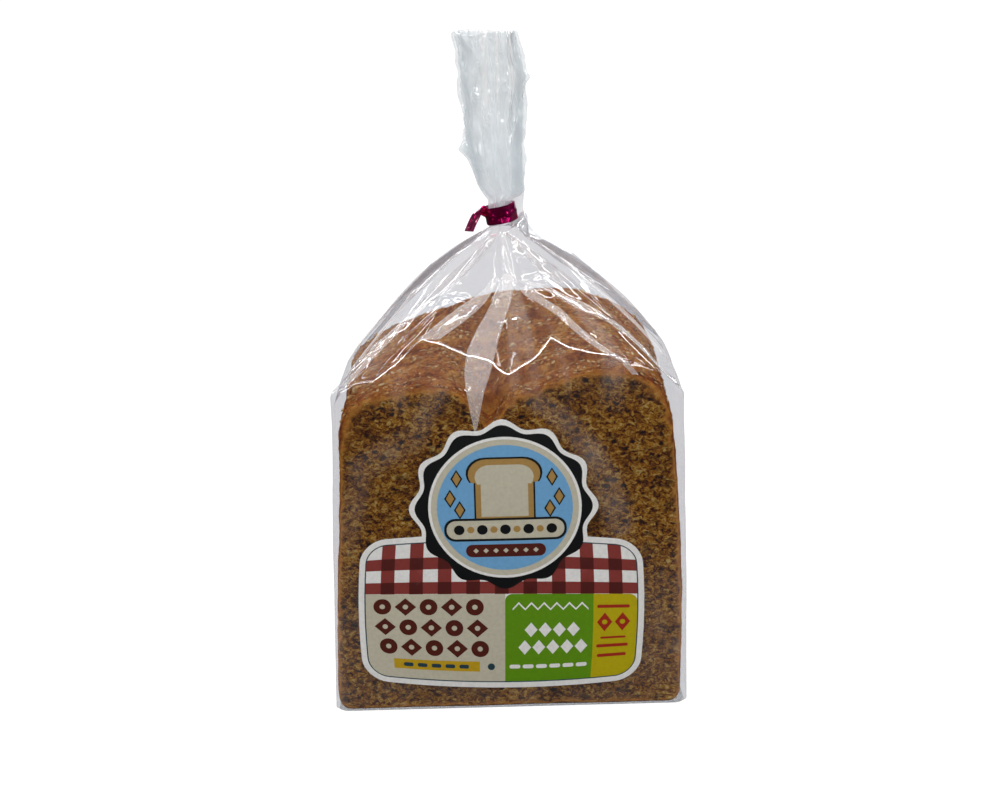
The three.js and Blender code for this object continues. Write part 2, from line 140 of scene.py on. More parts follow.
def wholemeal_bread():
    """Baked wholemeal dough: matt open crumb, olive brown with pale bran, and a crust that runs from golden
    to chestnut with a faint sheen. The pores of 1 to 3 mm are in the mesh and are darkened with painted
    shade, and the finer ones are drawn as small holes between walls, dark with painted shade."""
    material = finish_named("wholemeal_crumb_and_crust")
    place = add_node(material, "TexCoord").outputs["Object"]
    pore, bake, foot = [
        add_node(material, "Attribute", attribute_name=name).outputs["Fac"]
        for name in ("pore", "bake", "foot")
    ]
    flattened = add_node(material, "Mapping", {"Vector": place, "Scale": (1.0, 1.0, 1.45)})

    def speckle(scale, detail, rough=0.6, where=place, distortion=0.0):
        inputs = {"Vector": where, "Scale": scale, "Detail": detail, "Roughness": rough}
        return add_node(material, "TexNoise", {**inputs, "Distortion": distortion})

    walls = speckle(560, 4, 0.7, flattened, 1.0)
    nudged = {0: walls.outputs["Color"], 1: (0.0022,) * 3, 2: flattened}
    nudged = add_node(material, "VectorMath", nudged, operation="MULTIPLY_ADD")
    holes = add_node(material, "TexVoronoi", {"Vector": nudged, "Scale": 340.0})
    hole_size = add_node(material, "SeparateXYZ", {0: holes.outputs["Color"]})
    hole = {0: hole_size, 1: 0.6, 2: holes.outputs["Distance"]}
    hole = add_node(material, "Math", hole, operation="MULTIPLY_ADD")
    hole_depth = add_node(material, "MapRange", {"Value": hole, 1: 0.12, 2: 0.5, 3: -0.22, 4: 0.0})
    cells = add_node(material, "Math", {0: walls, 1: hole_depth}, operation="ADD")

    multiply = {"data_type": "RGBA", "blend_type": "MULTIPLY"}
    # The ramp's dark steps are painted shade in the fine holes; its lighter steps are the crumb walls' own
    # tones
    steps = [(0.33, "#1a0400"), (0.41, "#602602"), (0.49, "#ac6a10"), (0.56, "#dc9c2c"), (0.66, "#fada88")]
    crumb = add_node(material, "ValToRGB", {"Fac": cells}, steps)
    patches = add_node(material, "ValToRGB", {"Fac": speckle(70, 2)}, [(0.3, "#a98a62"), (0.7, "#ffffff")])
    crumb = add_node(material, "Mix", {"Factor": 0.6, "A": crumb, "B": patches}, **multiply)
    # Painted shade: the crumb is darkened towards near black as deep as its pores go
    crumb = add_node(material, "Mix", {"Factor": pore, "A": crumb, "B": "#2a1002"}, data_type="RGBA")
    under_crust = add_node(material, "MapRange", {"Value": bake, 1: 0.0, 2: 0.5, 3: 0.0, 4: 1.0})
    browned = add_node(material, "Mix", {"Factor": 0.7, "A": crumb, "B": "#ec9a3c"}, data_type="RGBA")
    crumb = add_node(material, "Mix", {"Factor": under_crust, "A": crumb, "B": browned}, data_type="RGBA")

    steps = [(0.28, "#7c340a"), (0.42, "#b4641c"), (0.56, "#d48c38"), (0.7, "#ecb868")]
    crust = add_node(material, "ValToRGB", {"Fac": speckle(130, 5, 0.65)}, steps)
    steps = [(0.4, "#8a5c30"), (0.5, "#e0c8a8"), (0.62, "#ffffff")]
    bran = add_node(material, "ValToRGB", {"Fac": speckle(620, 4, 0.7)}, steps)
    crust = add_node(material, "Mix", {"Factor": 0.75, "A": crust, "B": bran}, **multiply)
    crust = add_node(material, "Mix", {"Factor": foot, "A": crust, "B": "#3a1408"}, data_type="RGBA")
    baked_through = add_node(material, "MapRange", {"Value": bake, 1: 0.6, 2: 1.0, 3: 0.0, 4: 1.0})
    colour = add_node(material, "Mix", {"Factor": baked_through, "A": crumb, "B": crust}, data_type="RGBA")
    grain = add_node(material, "Bump", {"Height": cells, "Strength": 0.9, "Distance": 0.0012})
    matt = {"Roughness": 0.85, "Specular IOR Level": 0.03}
    shader = add_node(material, "BsdfPrincipled", {"Base Color": colour, "Normal": grain, **matt})
    add_node(material, "OutputMaterial", {"Surface": shader})
    return material


def select_only(piece, *others):
    bpy.ops.object.select_all(action="DESELECT")
    for each in (piece, *others):
        each.select_set(True)
    bpy.context.view_layer.objects.active = piece


def closed(rings):
    """The rings with both ends drawn in to a point."""
    first, last = [np.broadcast_to(ring.mean(0), ring.shape) for ring in (rings[0], rings[-1])]
    return [first, *rings, last]


def roll_up(name, rings, **attributes):
    """A flat grid rolled into a tube: its rows take their places on the rings, and the seam and any ring that
    is drawn in to one point are welded. Attributes are given ring by ring, as the points are."""
    rings = np.array(rings, float)
    rows, columns = rings.shape[:2]
    bpy.ops.object.select_all(action="DESELECT")
    bpy.ops.mesh.primitive_grid_add(x_subdivisions=columns, y_subdivisions=rows - 1, size=1)
    piece = bpy.context.object
    piece.name = piece.data.name = name
    flat = np.zeros(len(piece.data.vertices) * 3)
    piece.data.vertices.foreach_get("co", flat)
    flat = flat.reshape(-1, 3) + 0.5
    column = np.rint(flat[:, 0] * columns).astype(int) % columns
    row = np.rint(flat[:, 1] * (rows - 1)).astype(int)
    placed = (rings[row, column] + MIDDLE_IN_FRAME) * MM
    piece.data.vertices.foreach_set("co", placed.ravel())
    for key, values in attributes.items():
        values = np.broadcast_to(np.array(values, float), (rows, columns))[row, column]
        piece.data.attributes.new(key, "FLOAT", "POINT").data.foreach_set("value", values.astype(np.float32))
    piece.data.update()
    bpy.ops.object.mode_set(mode="EDIT")
    bpy.ops.mesh.select_all(action="SELECT")
    bpy.ops.mesh.remove_doubles(threshold=2e-6)
    bpy.ops.mesh.normals_make_consistent(inside=False)
    bpy.ops.object.mode_set(mode="OBJECT")
    bpy.ops.object.shade_smooth()
    return piece


def slice_edge(columns, number=0):
    """A slice's outline, anticlockwise from the middle of its foot, as x and z."""
    way = (np.arange(columns) / columns * 4 + 0.5) % 4
    side = np.floor(way).astype(int)
    along = way - side
    across = np.choose(side, [2 * along - 1, 1.0, 1 - 2 * along, -1.0])
    up = np.choose(side, [0.0, along, 1.0, 1 - along])
    over = np.maximum(0, np.abs(across) * LOAF_HALF_WIDTH - (LOAF_HALF_WIDTH - FOOT_CORNER))
    foot = LOAF_FOOT + FOOT_CORNER - np.sqrt(np.maximum(0, FOOT_CORNER**2 - over**2))
    back = (number * SLICE_PITCH + FIRST_CUT - CROWN_FROM) / (CROWN_TO - CROWN_FROM)
    crown = min(1.0, max(0.0, back)) ** 0.75
    at = (CRUST_X[0] + CRUST_X[-1]) / 2 + (CRUST_X[-1] - CRUST_X[0]) / 2 * across
    top = mix(smooth_row(CRUST_X, CRUST_Z, at), smooth_row(CRUST_X, CROWN_Z, at), crown)
    top = top - HEEL_DROP * (number == SLICES - 1)
    z = foot + up * (top - foot)
    left, right = smooth_row(SIDE_HEIGHTS, LEFT_SIDE, z), smooth_row(SIDE_HEIGHTS, RIGHT_SIDE, z)
    x = (left + right) / 2 + across * (right - left) / 2
    near = range(-3, 4)
    return np.mean([np.roll(x, k) for k in near], 0), np.mean([np.roll(z, k) for k in near], 0)


def outwards(x, z):
    """The direction out of a closed outline at each of its points."""
    dx, dz = np.roll(x, -1) - np.roll(x, 1), np.roll(z, -1) - np.roll(z, 1)
    length = np.hypot(dx, dz)
    return dz / length, -dx / length


def crust_relief(x, y, z):
    """Bumps, wrinkles and blisters of the crust, deepest on the top."""
    point = Vector((x, y, z))
    bumps = noise.noise(point / 9) * 0.9 + noise.noise(point / 3.2 + Vector((7, 0, 0))) * 0.45
    wrinkles = abs(noise.noise(Vector((x / 5, y / 1.8, z / 5)))) * 0.7 + noise.noise(point / 1.1) * 0.32
    return bumps * 0.7 - wrinkles


def pore_depth(x, z):
    """How deep the crumb is open at a point of a cut face: round pores of many sizes, drawn out sideways."""
    depth = 0.0
    for size, share, seed in ((3.3, 0.34, 3), (2.2, 0.42, 19), (1.4, 0.46, 31)):
        warped = Vector((x / 1.9, z, 0)) + noise.noise_vector(Vector((x, z, seed)) / 3.5) * 1.3
        distances, points = noise.voronoi(warped / size + Vector((seed, 0, seed)))
        reach = share * (0.25 + 0.75 * noise.cell(points[0] * 7.3))
        depth = max(depth, size * math.sqrt(max(0.0, reach**2 - distances[0] ** 2)))
    return depth


def slice_shift(number):
    """How far a slice has slipped sideways and up from the front one, and how much it leans."""
    draw = random.Random(40 + number)
    loose = number > 0
    return draw.uniform(-0.5, 0.5) * loose, draw.uniform(-0.4, 0.5) * loose, draw.uniform(-0.25, 0.25) * loose


def drawn_in(number, share):
    """How far the crust lies inside a slice's outline, from its front edge, 0, to its back edge, 1."""
    inset = 1.1 * (1 - min(1.0, 4 * share) ** 0.5) + 0.5 * (share > 0.97)
    return inset + 10 * (number == SLICES - 1) * max(0.0, share - 0.25) ** 2


def slice_rings(number, columns, face_rings):
    """The rings of one slice from the middle of its front face to the middle of its back, with the depth of
    its pores, which darkens them as painted shade, how far it is baked, and where its dark foot is."""
    front = FIRST_CUT + number * SLICE_PITCH
    shift_x, shift_z, lean = slice_shift(number)
    x, z = slice_edge(columns, number)
    out_x, out_z = outwards(x, z)
    rings, pores, baked = [], [], []

    def add(ring_x, ring_y, ring_z, pore, bake):
        placed = [ring_x + shift_x, ring_y + 0 * ring_x, ring_z + shift_z * (ring_z > 30)]
        rings.append(np.stack(placed, 1))
        pores.append(np.broadcast_to(pore, len(x)))
        baked.append(np.broadcast_to(bake, len(x)))

    for k in range(face_rings):
        scale = k / face_rings
        face_x, face_z = x * scale, FACE_MIDDLE_Z + (z - FACE_MIDDLE_Z) * scale
        face = list(zip(face_x, face_z))
        inside = np.hypot(x - face_x, z - face_z)
        uneven = np.array([noise.noise(Vector((a / 3, b / 3, number))) for a, b in face])
        waves = np.array([noise.noise(Vector((a / 22, b / 22, number * 3.1))) for a, b in face])
        thick = np.where(z > 90, BROWNED_ON_TOP, BROWNED_AT_SIDES) * (1 + 0.8 * uneven)
        bake = np.clip(1.3 - inside / thick, 0, 1) ** 1.3
        depth = np.zeros(len(x))
        if number == 0:
            depth = np.array([pore_depth(a, b) for a, b in face]) * np.clip(inside / 2.5, 0, 1)
        round_edge = 1.1 * np.clip(1 - inside / 1.8, 0, 1) ** 2 * (face_z > 20)
        y = front + 0.6 * depth + 0.35 * waves + round_edge
        # The pores' depth as a share, which also paints shade into them
        add(face_x, y, face_z, np.clip(depth / 1.3, 0, 1), bake)
    for k in range(CRUST_ROWS + 1):
        share = k / CRUST_ROWS
        y = front + 1.1 * (number == 0) * (1 - share) + share * SLICE_THICKNESS
        top = np.clip((z - 80) / 20, 0, 1)
        relief = np.array([crust_relief(a, y, b) for a, b in zip(x, z)]) * (0.3 + 0.7 * top)
        relief = np.where(z < 4, np.minimum(relief, 0) * 0.3, relief) - drawn_in(number, share)
        add(x + out_x * relief + lean * (z / 100) * share, y, z + out_z * relief, 0.0, 1.0)
    if number == SLICES - 1:
        edge_x, _, edge_z = rings[-1].T
        back = FIRST_CUT + SLICES * SLICE_PITCH - HEEL_SWELL
        for k in range(1, HEEL_ROWS + 1):
            scale = 1 - k / HEEL_ROWS
            back_x, back_z = edge_x * scale, FACE_MIDDLE_Z + (edge_z - FACE_MIDDLE_Z) * scale
            relief = np.array([crust_relief(a, 60, b) for a, b in zip(back_x, back_z)])
            y = back + HEEL_SWELL * (1 - scale**2) ** 0.5 + relief * min(1, k / 4) * 0.7
            add(back_x - shift_x, y, back_z, 0.0, 0.9)
    else:
        add(x * 0.0, front + SLICE_THICKNESS, np.full(len(x), FACE_MIDDLE_Z), 0.0, 0.2)
    foot = [np.clip((3.6 - ring[:, 2]) / 1.6, 0, 1) for ring in rings]
    return rings, pores, baked, foot


# The noise that warps the pores starts from the clock unless it is given a start of its own
noise.seed_set(8)
bread = wholemeal_bread()
for number in range(SLICES):
    # Only the front slice shows its face
    columns, face_rings = (AROUND_SLICE * 2 // 3, 3) if number else (AROUND_SLICE, FACE_RINGS)
    rings, pores, baked, foot = slice_rings(number, columns, face_rings)
    name = "heel_slice" if number == SLICES - 1 else f"bread_slice_{number + 1}"
    piece = roll_up(name, rings, pore=pores, bake=baked, foot=foot)
    piece.data.materials.append(bread)
    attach(piece, "root")
    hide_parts("bag")

# The flakes
# Rolled oat flakes and flat pieces of bran, strewn on the wet dough before baking and stuck in its crust.
# They are pale and toasted, half a millimetre to 3 mm long, and lie flat in uneven drifts over the whole top.

FLAKES = 2600
FLAKE_LENGTH = (0.5, 2.4)
FLAKE_WIDTH_SHARE, FLAKE_THICKNESS_SHARE, FLAKE_LEAST_THICKNESS = 0.78, 0.14, 0.12
FLAKE_LIFT = 0.12


def oat_flake_finish():
    """Rolled oat and bran: dry, matt and pale straw to toasted tan, each flake its own shade."""
    material = finish_named("toasted_oat_and_bran")
    toast = add_node(material, "Attribute", attribute_name="toast").outputs["Fac"]
    place = add_node(material, "TexCoord").outputs["Object"]
    steps = [(0.0, "#96601e"), (0.4, "#bc843c"), (0.75, "#d4a45c"), (1.0, "#e8c88c")]
    colour = add_node(material, "ValToRGB", {"Fac": toast}, steps)
    fibre = add_node(material, "TexNoise", {"Vector": place, "Scale": 1500.0, "Detail": 2.0})
    bump = add_node(material, "Bump", {"Height": fibre, "Strength": 0.5, "Distance": 0.0002})
    matt = {"Roughness": 0.7, "Specular IOR Level": 0.3}
    shader = add_node(material, "BsdfPrincipled", {"Base Color": colour, "Normal": bump, **matt})
    add_node(material, "OutputMaterial", {"Surface": shader})
    return material


def piece_of(name, points, faces):
    """A piece from its points in millimetres and its faces, selected."""
    mesh = bpy.data.meshes.new(name)
    mesh.from_pydata(((points + MIDDLE_IN_FRAME) * MM).tolist(), [], faces.tolist())
    piece = bpy.data.objects.new(name, mesh)
    bpy.context.scene.collection.objects.link(piece)
    select_only(piece)
    return piece


def strew_flakes():
    """One flake is modelled, and copies of it are laid on the crust and joined."""
    bpy.ops.object.select_all(action="DESELECT")
    bpy.ops.mesh.primitive_ico_sphere_add(subdivisions=1, radius=0.5)
    flake = bpy.context.object
    shape = np.array([v.co for v in flake.data.vertices])
    faces = np.array([p.vertices for p in flake.data.polygons])
    bpy.data.objects.remove(flake)
    draw = random.Random(11)
    edges = [slice_edge(2000, number) for number in range(SLICES)]
    top = np.flatnonzero(edges[0][1] > 97)
    points, triangles, toasts = [], [], []
    while len(points) < FLAKES:
        at = top[draw.randrange(len(top))]
        number = draw.randrange(SLICES)
        edge_x, edge_z = edges[number]
        out_x, out_z = outwards(edge_x, edge_z)
        y = FIRST_CUT + number * SLICE_PITCH + draw.uniform(0.5, SLICE_THICKNESS - 0.5)
        if draw.random() > 0.35 + 1.3 * max(0, noise.noise(Vector((edge_x[at], y, 4)) / 16)):
            continue
        x, z = edge_x[at], edge_z[at]
        share = (y - FIRST_CUT - number * SLICE_PITCH) / SLICE_THICKNESS
        relief = crust_relief(x, y, z) - drawn_in(number, share)
        normal = Vector((out_x[at], 0, out_z[at]))
        shift_x, shift_z, lean = slice_shift(number)
        slipped = Vector((shift_x + lean * z / 100 * share, 0, shift_z))
        centre = Vector((x, y, z)) + slipped + normal * (relief + FLAKE_LIFT)
        tilt = Vector([draw.gauss(0, 0.25) for _ in range(3)])
        spin = Matrix.Rotation(draw.uniform(0, 6.3), 3, "Z")
        turn = (normal + tilt).to_track_quat("Z", "Y").to_matrix() @ spin
        length = mix(*FLAKE_LENGTH, draw.random() ** 2.2)
        thickness = length * FLAKE_THICKNESS_SHARE + FLAKE_LEAST_THICKNESS
        size = np.array([length, length * FLAKE_WIDTH_SHARE, thickness])
        size *= [draw.uniform(0.7, 1.3) for _ in range(3)]
        triangles.append(faces + len(points) * len(shape))
        points.append((shape * size) @ np.array(turn).T + np.array(centre))
        toasts.extend([draw.random() ** 0.8] * len(shape))
    piece = piece_of("oat_flakes", np.concatenate(points), np.concatenate(triangles))
    piece.data.attributes.new("toast", "FLOAT", "POINT").data.foreach_set("value", toasts)
    bpy.ops.object.shade_smooth()
    return piece


flakes = strew_flakes()
flakes.data.materials.append(oat_flake_finish())
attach(flakes, "root")
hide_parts("bag")

# The film bag
# A tube of clear polypropylene film, 30 to 40 microns thick, sealed across its foot and slipped over the
# loaf. It stands a little off the crumb in front, forms pointed ears at the corners, and rises in folds to
# the tie. Each skin of the mesh is one layer of film, and a pleat is two more layers laid over it.

FOOT_HALF_WIDTH, SHOULDER_HALF_WIDTH, HALF_DEPTH = 58, 56.2, 50
CORNER_RADIUS, FOOT_ROUNDING = 3.5, 1
FACE_BULGE, SIDE_BULGE, BULGE_HEIGHT = 2.4, 1, 112
LEAN, SHOULDER_HEIGHT = 1.2, 98
RIM_X = [-57, -48, -28, -7, 14, 34, 48, 57]
RIM_Z = [98, 106.5, 111.5, 108, 112, 116, 112.5, 102.5]
EARS = {"front left": 11, "front right": 3, "back left": -4, "back right": -3}
NECK_FOOT, NECK_TOP, NECK_RADIUS, NECK_CENTRE_X = 151.4, 160.6, 4.15, 0.6
STRAIGHTNESS = {"left": 0.78, "right": 0.72, "face": 0.9, "corner": 1.05}
FULLNESS_AT_NECK = 0.42
DOME_FOLD_DEPTH, DOME_FOLD_POWER, DOME_END = 2.4, 1.6, 0.9
PUFF_TURN, PUFF_WIDTH, PUFF_HEIGHT = 0.27, 0.11, 5.6
PUFF_REACH, PUFF_INSIDE, COLLAR_OUTSIDE, COLLAR_INSIDE, COLLAR_DROP = 9.4, 6.3, 6.2, 4.65, 0.8
FOLDS, FOLD_UNEVENNESS, NECK_FOLD_DEPTH = 12, 0.35, 0.5
# The film is divided this many times finer than 20 across a face, 17 along a side and 3 round a corner
FINER = 7
# The film's length from rim to neck, and its way round at the rim, halfway and at the neck
FILM_LENGTH_OF_DOME = 66
AROUND_RIM, AROUND_MIDDLE, AROUND_NECK = 424, 200, 32


def block_outline():
    """The film's outline round the loaf from above, from the middle of the front, anticlockwise."""
    straight_x, straight_y = SHOULDER_HALF_WIDTH - CORNER_RADIUS, HALF_DEPTH - CORNER_RADIUS
    points = []

    def line(start, end, parts):
        points.extend(mix(np.array(start), np.array(end), i / parts) for i in range(parts))

    def corner(x, y, begin, parts=3 * FINER):
        for i in range(parts):
            angle = begin + math.pi / 2 * i / parts
            points.append(np.array([x, y]) + CORNER_RADIUS * np.array([math.cos(angle), math.sin(angle)]))

    line((0, -HALF_DEPTH), (straight_x, -HALF_DEPTH), 10 * FINER)
    corner(straight_x, -straight_y, -math.pi / 2)
    line((SHOULDER_HALF_WIDTH, -straight_y), (SHOULDER_HALF_WIDTH, straight_y), 17 * FINER)
    corner(straight_x, straight_y, 0)
    line((straight_x, HALF_DEPTH), (-straight_x, HALF_DEPTH), 20 * FINER)
    corner(-straight_x, straight_y, math.pi / 2)
    line((-SHOULDER_HALF_WIDTH, straight_y), (-SHOULDER_HALF_WIDTH, -straight_y), 17 * FINER)
    corner(-straight_x, -straight_y, math.pi)
    line((-straight_x, -HALF_DEPTH), (0, -HALF_DEPTH), 10 * FINER)
    return np.array(points)


OUTLINE = block_outline()
TURNS = np.arange(len(OUTLINE)) / len(OUTLINE)


def outline_at(turn):
    turn = np.mod(turn, 1)
    wrapped = np.append(TURNS, 1)
    return [np.interp(turn, wrapped, np.append(OUTLINE[:, i], OUTLINE[0, i])) for i in (0, 1)]


def bulge(across, half_across, z):
    sideways = np.maximum(0, 1 - (across / half_across) ** 2)
    return sideways * np.sqrt(np.maximum(0, np.sin(np.pi * z / BULGE_HEIGHT)))


def cornering(x, y):
    return (np.abs(x / SHOULDER_HALF_WIDTH) * np.abs(y / HALF_DEPTH)) ** 5


def rim_height(x, y):
    front = np.where(x > 0, EARS["front right"], EARS["front left"])
    back = np.where(x > 0, EARS["back right"], EARS["back left"])
    return smooth_row(RIM_X, RIM_Z, x) + np.where(y < 0, front, back) * cornering(x, y)


def block_point(x, y, z, inset=0.0):
    height = np.minimum(1, z / SHOULDER_HEIGHT)
    widening = mix(FOOT_HALF_WIDTH, SHOULDER_HALF_WIDTH, height)
    across_x, across_y = x / SHOULDER_HALF_WIDTH, y / HALF_DEPTH
    out = FACE_BULGE * bulge(x, SHOULDER_HALF_WIDTH, z)
    side_out = SIDE_BULGE * bulge(y, HALF_DEPTH, z)
    placed_x = across_x * (widening - inset) + side_out * across_x**5 + LEAN * height
    placed_y = across_y * (HALF_DEPTH - inset) + out * across_y**5
    return np.stack([placed_x, placed_y, z + 0 * x], -1)


def fold(turn):
    uneven = turn * FOLDS + FOLD_UNEVENNESS * np.sin(6 * np.pi * turn)
    return 1 - np.abs(np.sin(np.pi * uneven))


def round_apart(a, b):
    """The shortest way round from one turn to another, with its sign."""
    return np.mod(a - b + 0.5, 1) - 0.5


def bump_round(turn, at, width):
    return np.exp(-((round_apart(turn, at) / width) ** 2))


def gathered_point(turn, half_width, half_depth, middle_x, depth, z):
    angle = 2 * np.pi * turn - np.pi / 2
    inwards = depth * (1 - fold(turn))
    x = middle_x + (half_width - inwards) * np.cos(angle)
    y = (half_depth - inwards * (half_depth / half_width)) * np.sin(angle)
    return np.stack([x, y, z + 0 * turn], -1)


def neck_point(turn, z):
    return gathered_point(turn, NECK_RADIUS, NECK_RADIUS, NECK_CENTRE_X, NECK_FOLD_DEPTH, z)


def dome_point(turn, share):
    x, y = outline_at(turn)
    foot = block_point(x, y, rim_height(x, y))
    head = neck_point(turn, NECK_FOOT)
    side = np.where(x > 0, STRAIGHTNESS["right"], STRAIGHTNESS["left"])
    along = mix(side, STRAIGHTNESS["face"], (y / HALF_DEPTH) ** 2)
    along = mix(along, STRAIGHTNESS["corner"], cornering(x, y)) * (1 - FULLNESS_AT_NECK * share)
    point = mix(foot, head, np.expand_dims(share + 0 * turn, -1))
    point[..., 2] = mix(foot[..., 2], head[..., 2], np.maximum(share, 1e-6) ** along)
    inwards = DOME_FOLD_DEPTH * (1 - fold(turn)) * np.sin(np.pi * share**DOME_FOLD_POWER)
    return point - dome_outwards(point) * inwards[..., None]


def dome_outwards(point):
    away = point * [1, 1, 0] + [0, 0, HALF_DEPTH]
    return away / np.linalg.norm(away, axis=-1, keepdims=True)


# Folds that show: the places that each runs through, as turn and level, and the height and half width of its
# ridge in millimetres. Level is 0 at the rim, 1 at the neck and -1 at the foot.
FOLD_LINES = [
    ([(0.93, 0.52), (0.911, 0.445), (0.8975, 0.322), (0.8855, 0.223), (0.868, 0.16), (0.8675, 0)], 1.3, 1.5),
    ([(0.9305, 0.411), (0.912, 0.25), (0.895, 0.069)], 0.7, 1.2),
    ([(0.918, 0.381), (0.9315, 0.436), (0.951, 0.45)], 0.9, 1.4),
    ([(0.9875, 0.337), (0.012, 0.36), (0.03, 0.411)], 0.6, 1.1),
    ([(0.0515, 0.322), (0.045, 0.233)], 0.6, 0.8),
    ([(0.0415, 0.5), (0.0865, 0.35), (0.12, 0.2), (0.133, 0.06), (0.1325, -0.03)], 1.3, 1.4),
    ([(0.054, 0.332), (0.069, 0.148), (0.0805, 0.0)], 0.7, 1.0),
    ([(0.0225, 0.777), (0.0655, 0.678), (0.11, 0.69), (0.0885, 0.574), (0.0435, 0.569)], 0.8, 1.1),
    ([(0.005, 0.95), (0.0135, 0.733), (0.016, 0.579)], 1.3, 1.4),
    ([(0.016, 0.579), (0.995, 0.4), (0.9885, 0.134)], 0.3, 1.2),
    ([(0.005, 0.57), (0.977, 0.3), (0.969, 0.0)], 0.7, 1.0),
    ([(0.99, 0.6), (0.955, 0.38), (0.925, 0.15)], 0.8, 1.0),
    ([(0.37, 0.0), (0.4, 0.5), (0.43, 0.95)], 1.5, 2.6),
    ([(0.63, 0.0), (0.6, 0.5), (0.57, 0.95)], 1.5, 2.6),
    ([(0.5, 0.05), (0.47, 0.3), (0.52, 0.6)], 1.0, 1.8),
    ([(0.22, 0.1), (0.2, 0.5), (0.23, 0.8)], 1.1, 1.8),
    ([(0.8, 0.1), (0.82, 0.5), (0.79, 0.8)], 1.1, 1.8),
    ([(0.09, -0.08), (0.075, -0.3), (0.06, -0.55)], 0.3, 2.2),
    ([(0.9565, -0.06), (0.907, -0.2), (0.885, -0.55)], 0.3, 2.2),
]
# Flaps where the front or back film stands up steeper as far as a bent line, and then lies back: the line as
# turn and level
FLAPS = [
    [
        (0.955, 0.0), (0.9705, 0.02), (0.0025, 0.06), (0.022, 0.11),
        (0.0375, 0.19), (0.048, 0.12), (0.0615, 0.07), (0.088, 0.0),
    ],
    [(0.905, 0.0), (0.93, 0.19), (0.939, 0.185), (0.962, 0.16), (0.985, 0.14), (0.997, 0.075), (0.013, 0.0)],
    [(0.42, 0.0), (0.46, 0.12), (0.5, 0.16), (0.54, 0.08), (0.58, 0.0)],
]
FLAP_STEEPNESS, FLAP_LENGTH = 0.24, 15
SHORT_CREASES = 75


def all_creases():
    """The folds above as straight lengths, and short creases at random that crowd towards the neck."""
    draw = random.Random(5)
    creases = []
    for places, height, half_width in FOLD_LINES:
        for begin, end in zip(places, places[1:]):
            creases.append((*begin, *end, height, half_width, False))
    for _ in range(SHORT_CREASES):
        turn, level = draw.random(), 0.2 + 0.85 * draw.random() ** 0.6
        length = draw.uniform(0.05, 0.3)
        slant = draw.gauss(0, 0.018)
        height = draw.choice((1, -1)) * draw.uniform(0.1, 0.36)
        half_width = draw.uniform(0.5, 1.5)
        creases.append((turn, level - length / 2, turn + slant, level + length / 2, height, half_width, True))
    for _ in range(SHORT_CREASES // 3):
        turn, level = draw.random(), -draw.random()
        height = draw.choice((1, -1)) * draw.uniform(0.04, 0.14)
        end = (turn + draw.gauss(0, 0.03), level + draw.gauss(0, 0.25))
        creases.append((turn, level, *end, height, draw.uniform(1.0, 3.0), True))
    return creases


ALL_CREASES = all_creases()


def flap_relief(turn, level):
    """How far the flaps stand out: evenly more up to their line, and less and less above it."""
    relief = np.zeros(np.broadcast(turn, level).shape)
    for line in FLAPS:
        start = line[0][0]
        along = [round_apart(place[0], start) for place in line]
        line_level = np.interp(np.mod(turn - start, 1), along, [place[1] for place in line], right=0)
        above = np.exp(-np.maximum(0, level - line_level) * FILM_LENGTH_OF_DOME / FLAP_LENGTH)
        height = FLAP_STEEPNESS * FILM_LENGTH_OF_DOME * np.clip(level, 0, line_level) * above
        relief = np.maximum(relief, height)
    return relief


def crumple(x, y, z):
    """Soft uneven swells of the film at a place, in millimetres."""
    point = Vector((x, y, z))
    return noise.noise(point / 24) * 0.5 + noise.noise(point / 9 + Vector((3, 0, 0))) * 0.11


def crease_relief(turn, level):
    """How far the film stands out at a place because of its creases, in millimetres."""
    around = mix(AROUND_RIM, AROUND_NECK, np.clip(level, 0, 1))
    relief = np.zeros(np.broadcast(turn, level).shape)
    for turn_a, level_a, turn_b, level_b, height, half_width, fades in ALL_CREASES:
        length = (level_b - level_a) * FILM_LENGTH_OF_DOME
        span = np.array([round_apart(turn_b, turn_a) * AROUND_MIDDLE, length])
        sideways = round_apart(turn, turn_a) * AROUND_MIDDLE + 0 * level
        upwards = (level - level_a) * FILM_LENGTH_OF_DOME + 0 * turn
        here = np.stack([sideways, upwards], -1)
        along = np.clip(here @ span / max(1e-6, span @ span), 0, 1)
        apart = here - along[..., None] * span
        apart[..., 0] *= around / AROUND_MIDDLE
        distance = np.sqrt((apart**2).sum(-1) + 0.25)
        fading = np.sin(np.pi * np.clip(along * 0.9 + 0.05, 0, 1)) ** 0.5 if fades else 1.0
        relief += height * fading * np.exp(-distance / half_width)
    return relief


def film_point(turn, level, above=0.0):
    """A point of the film between its foot, level -1, and its neck, level 1."""
    turn, level = np.broadcast_arrays(np.asarray(turn, float), np.asarray(level, float))
    x, y = outline_at(turn)
    rim = rim_height(x, y)
    wall = block_point(x, y, mix(FOOT_ROUNDING, rim, np.clip(level + 1, 0, 1)))
    dome = dome_point(turn, np.clip(level, 0, 1))
    on_wall = (level <= 0)[..., None]
    point = np.where(on_wall, wall, dome)
    away = np.where(on_wall, block_outwards(x, y), dome_outwards(dome))
    calm = np.clip((level + 1) / 0.08, 0, 1)
    swells = [crumple(*place) for place in point.reshape(-1, 3)]
    relief = crease_relief(turn, level) + flap_relief(turn, level)
    relief = relief + np.reshape(swells, turn.shape) * np.clip(1.2 + level, 0.3, 1)
    under_label = (level < -0.04) & (np.minimum(turn, 1 - turn) < 0.118)
    relief = np.where(under_label, np.minimum(relief, 0.2), relief)
    return point + away * ((relief * calm + above)[..., None])


def block_outwards(x, y):
    away = np.stack([(x / SHOULDER_HALF_WIDTH) ** 9, (y / HALF_DEPTH) ** 9, 0 * x], -1)
    return away / np.linalg.norm(away, axis=-1, keepdims=True)


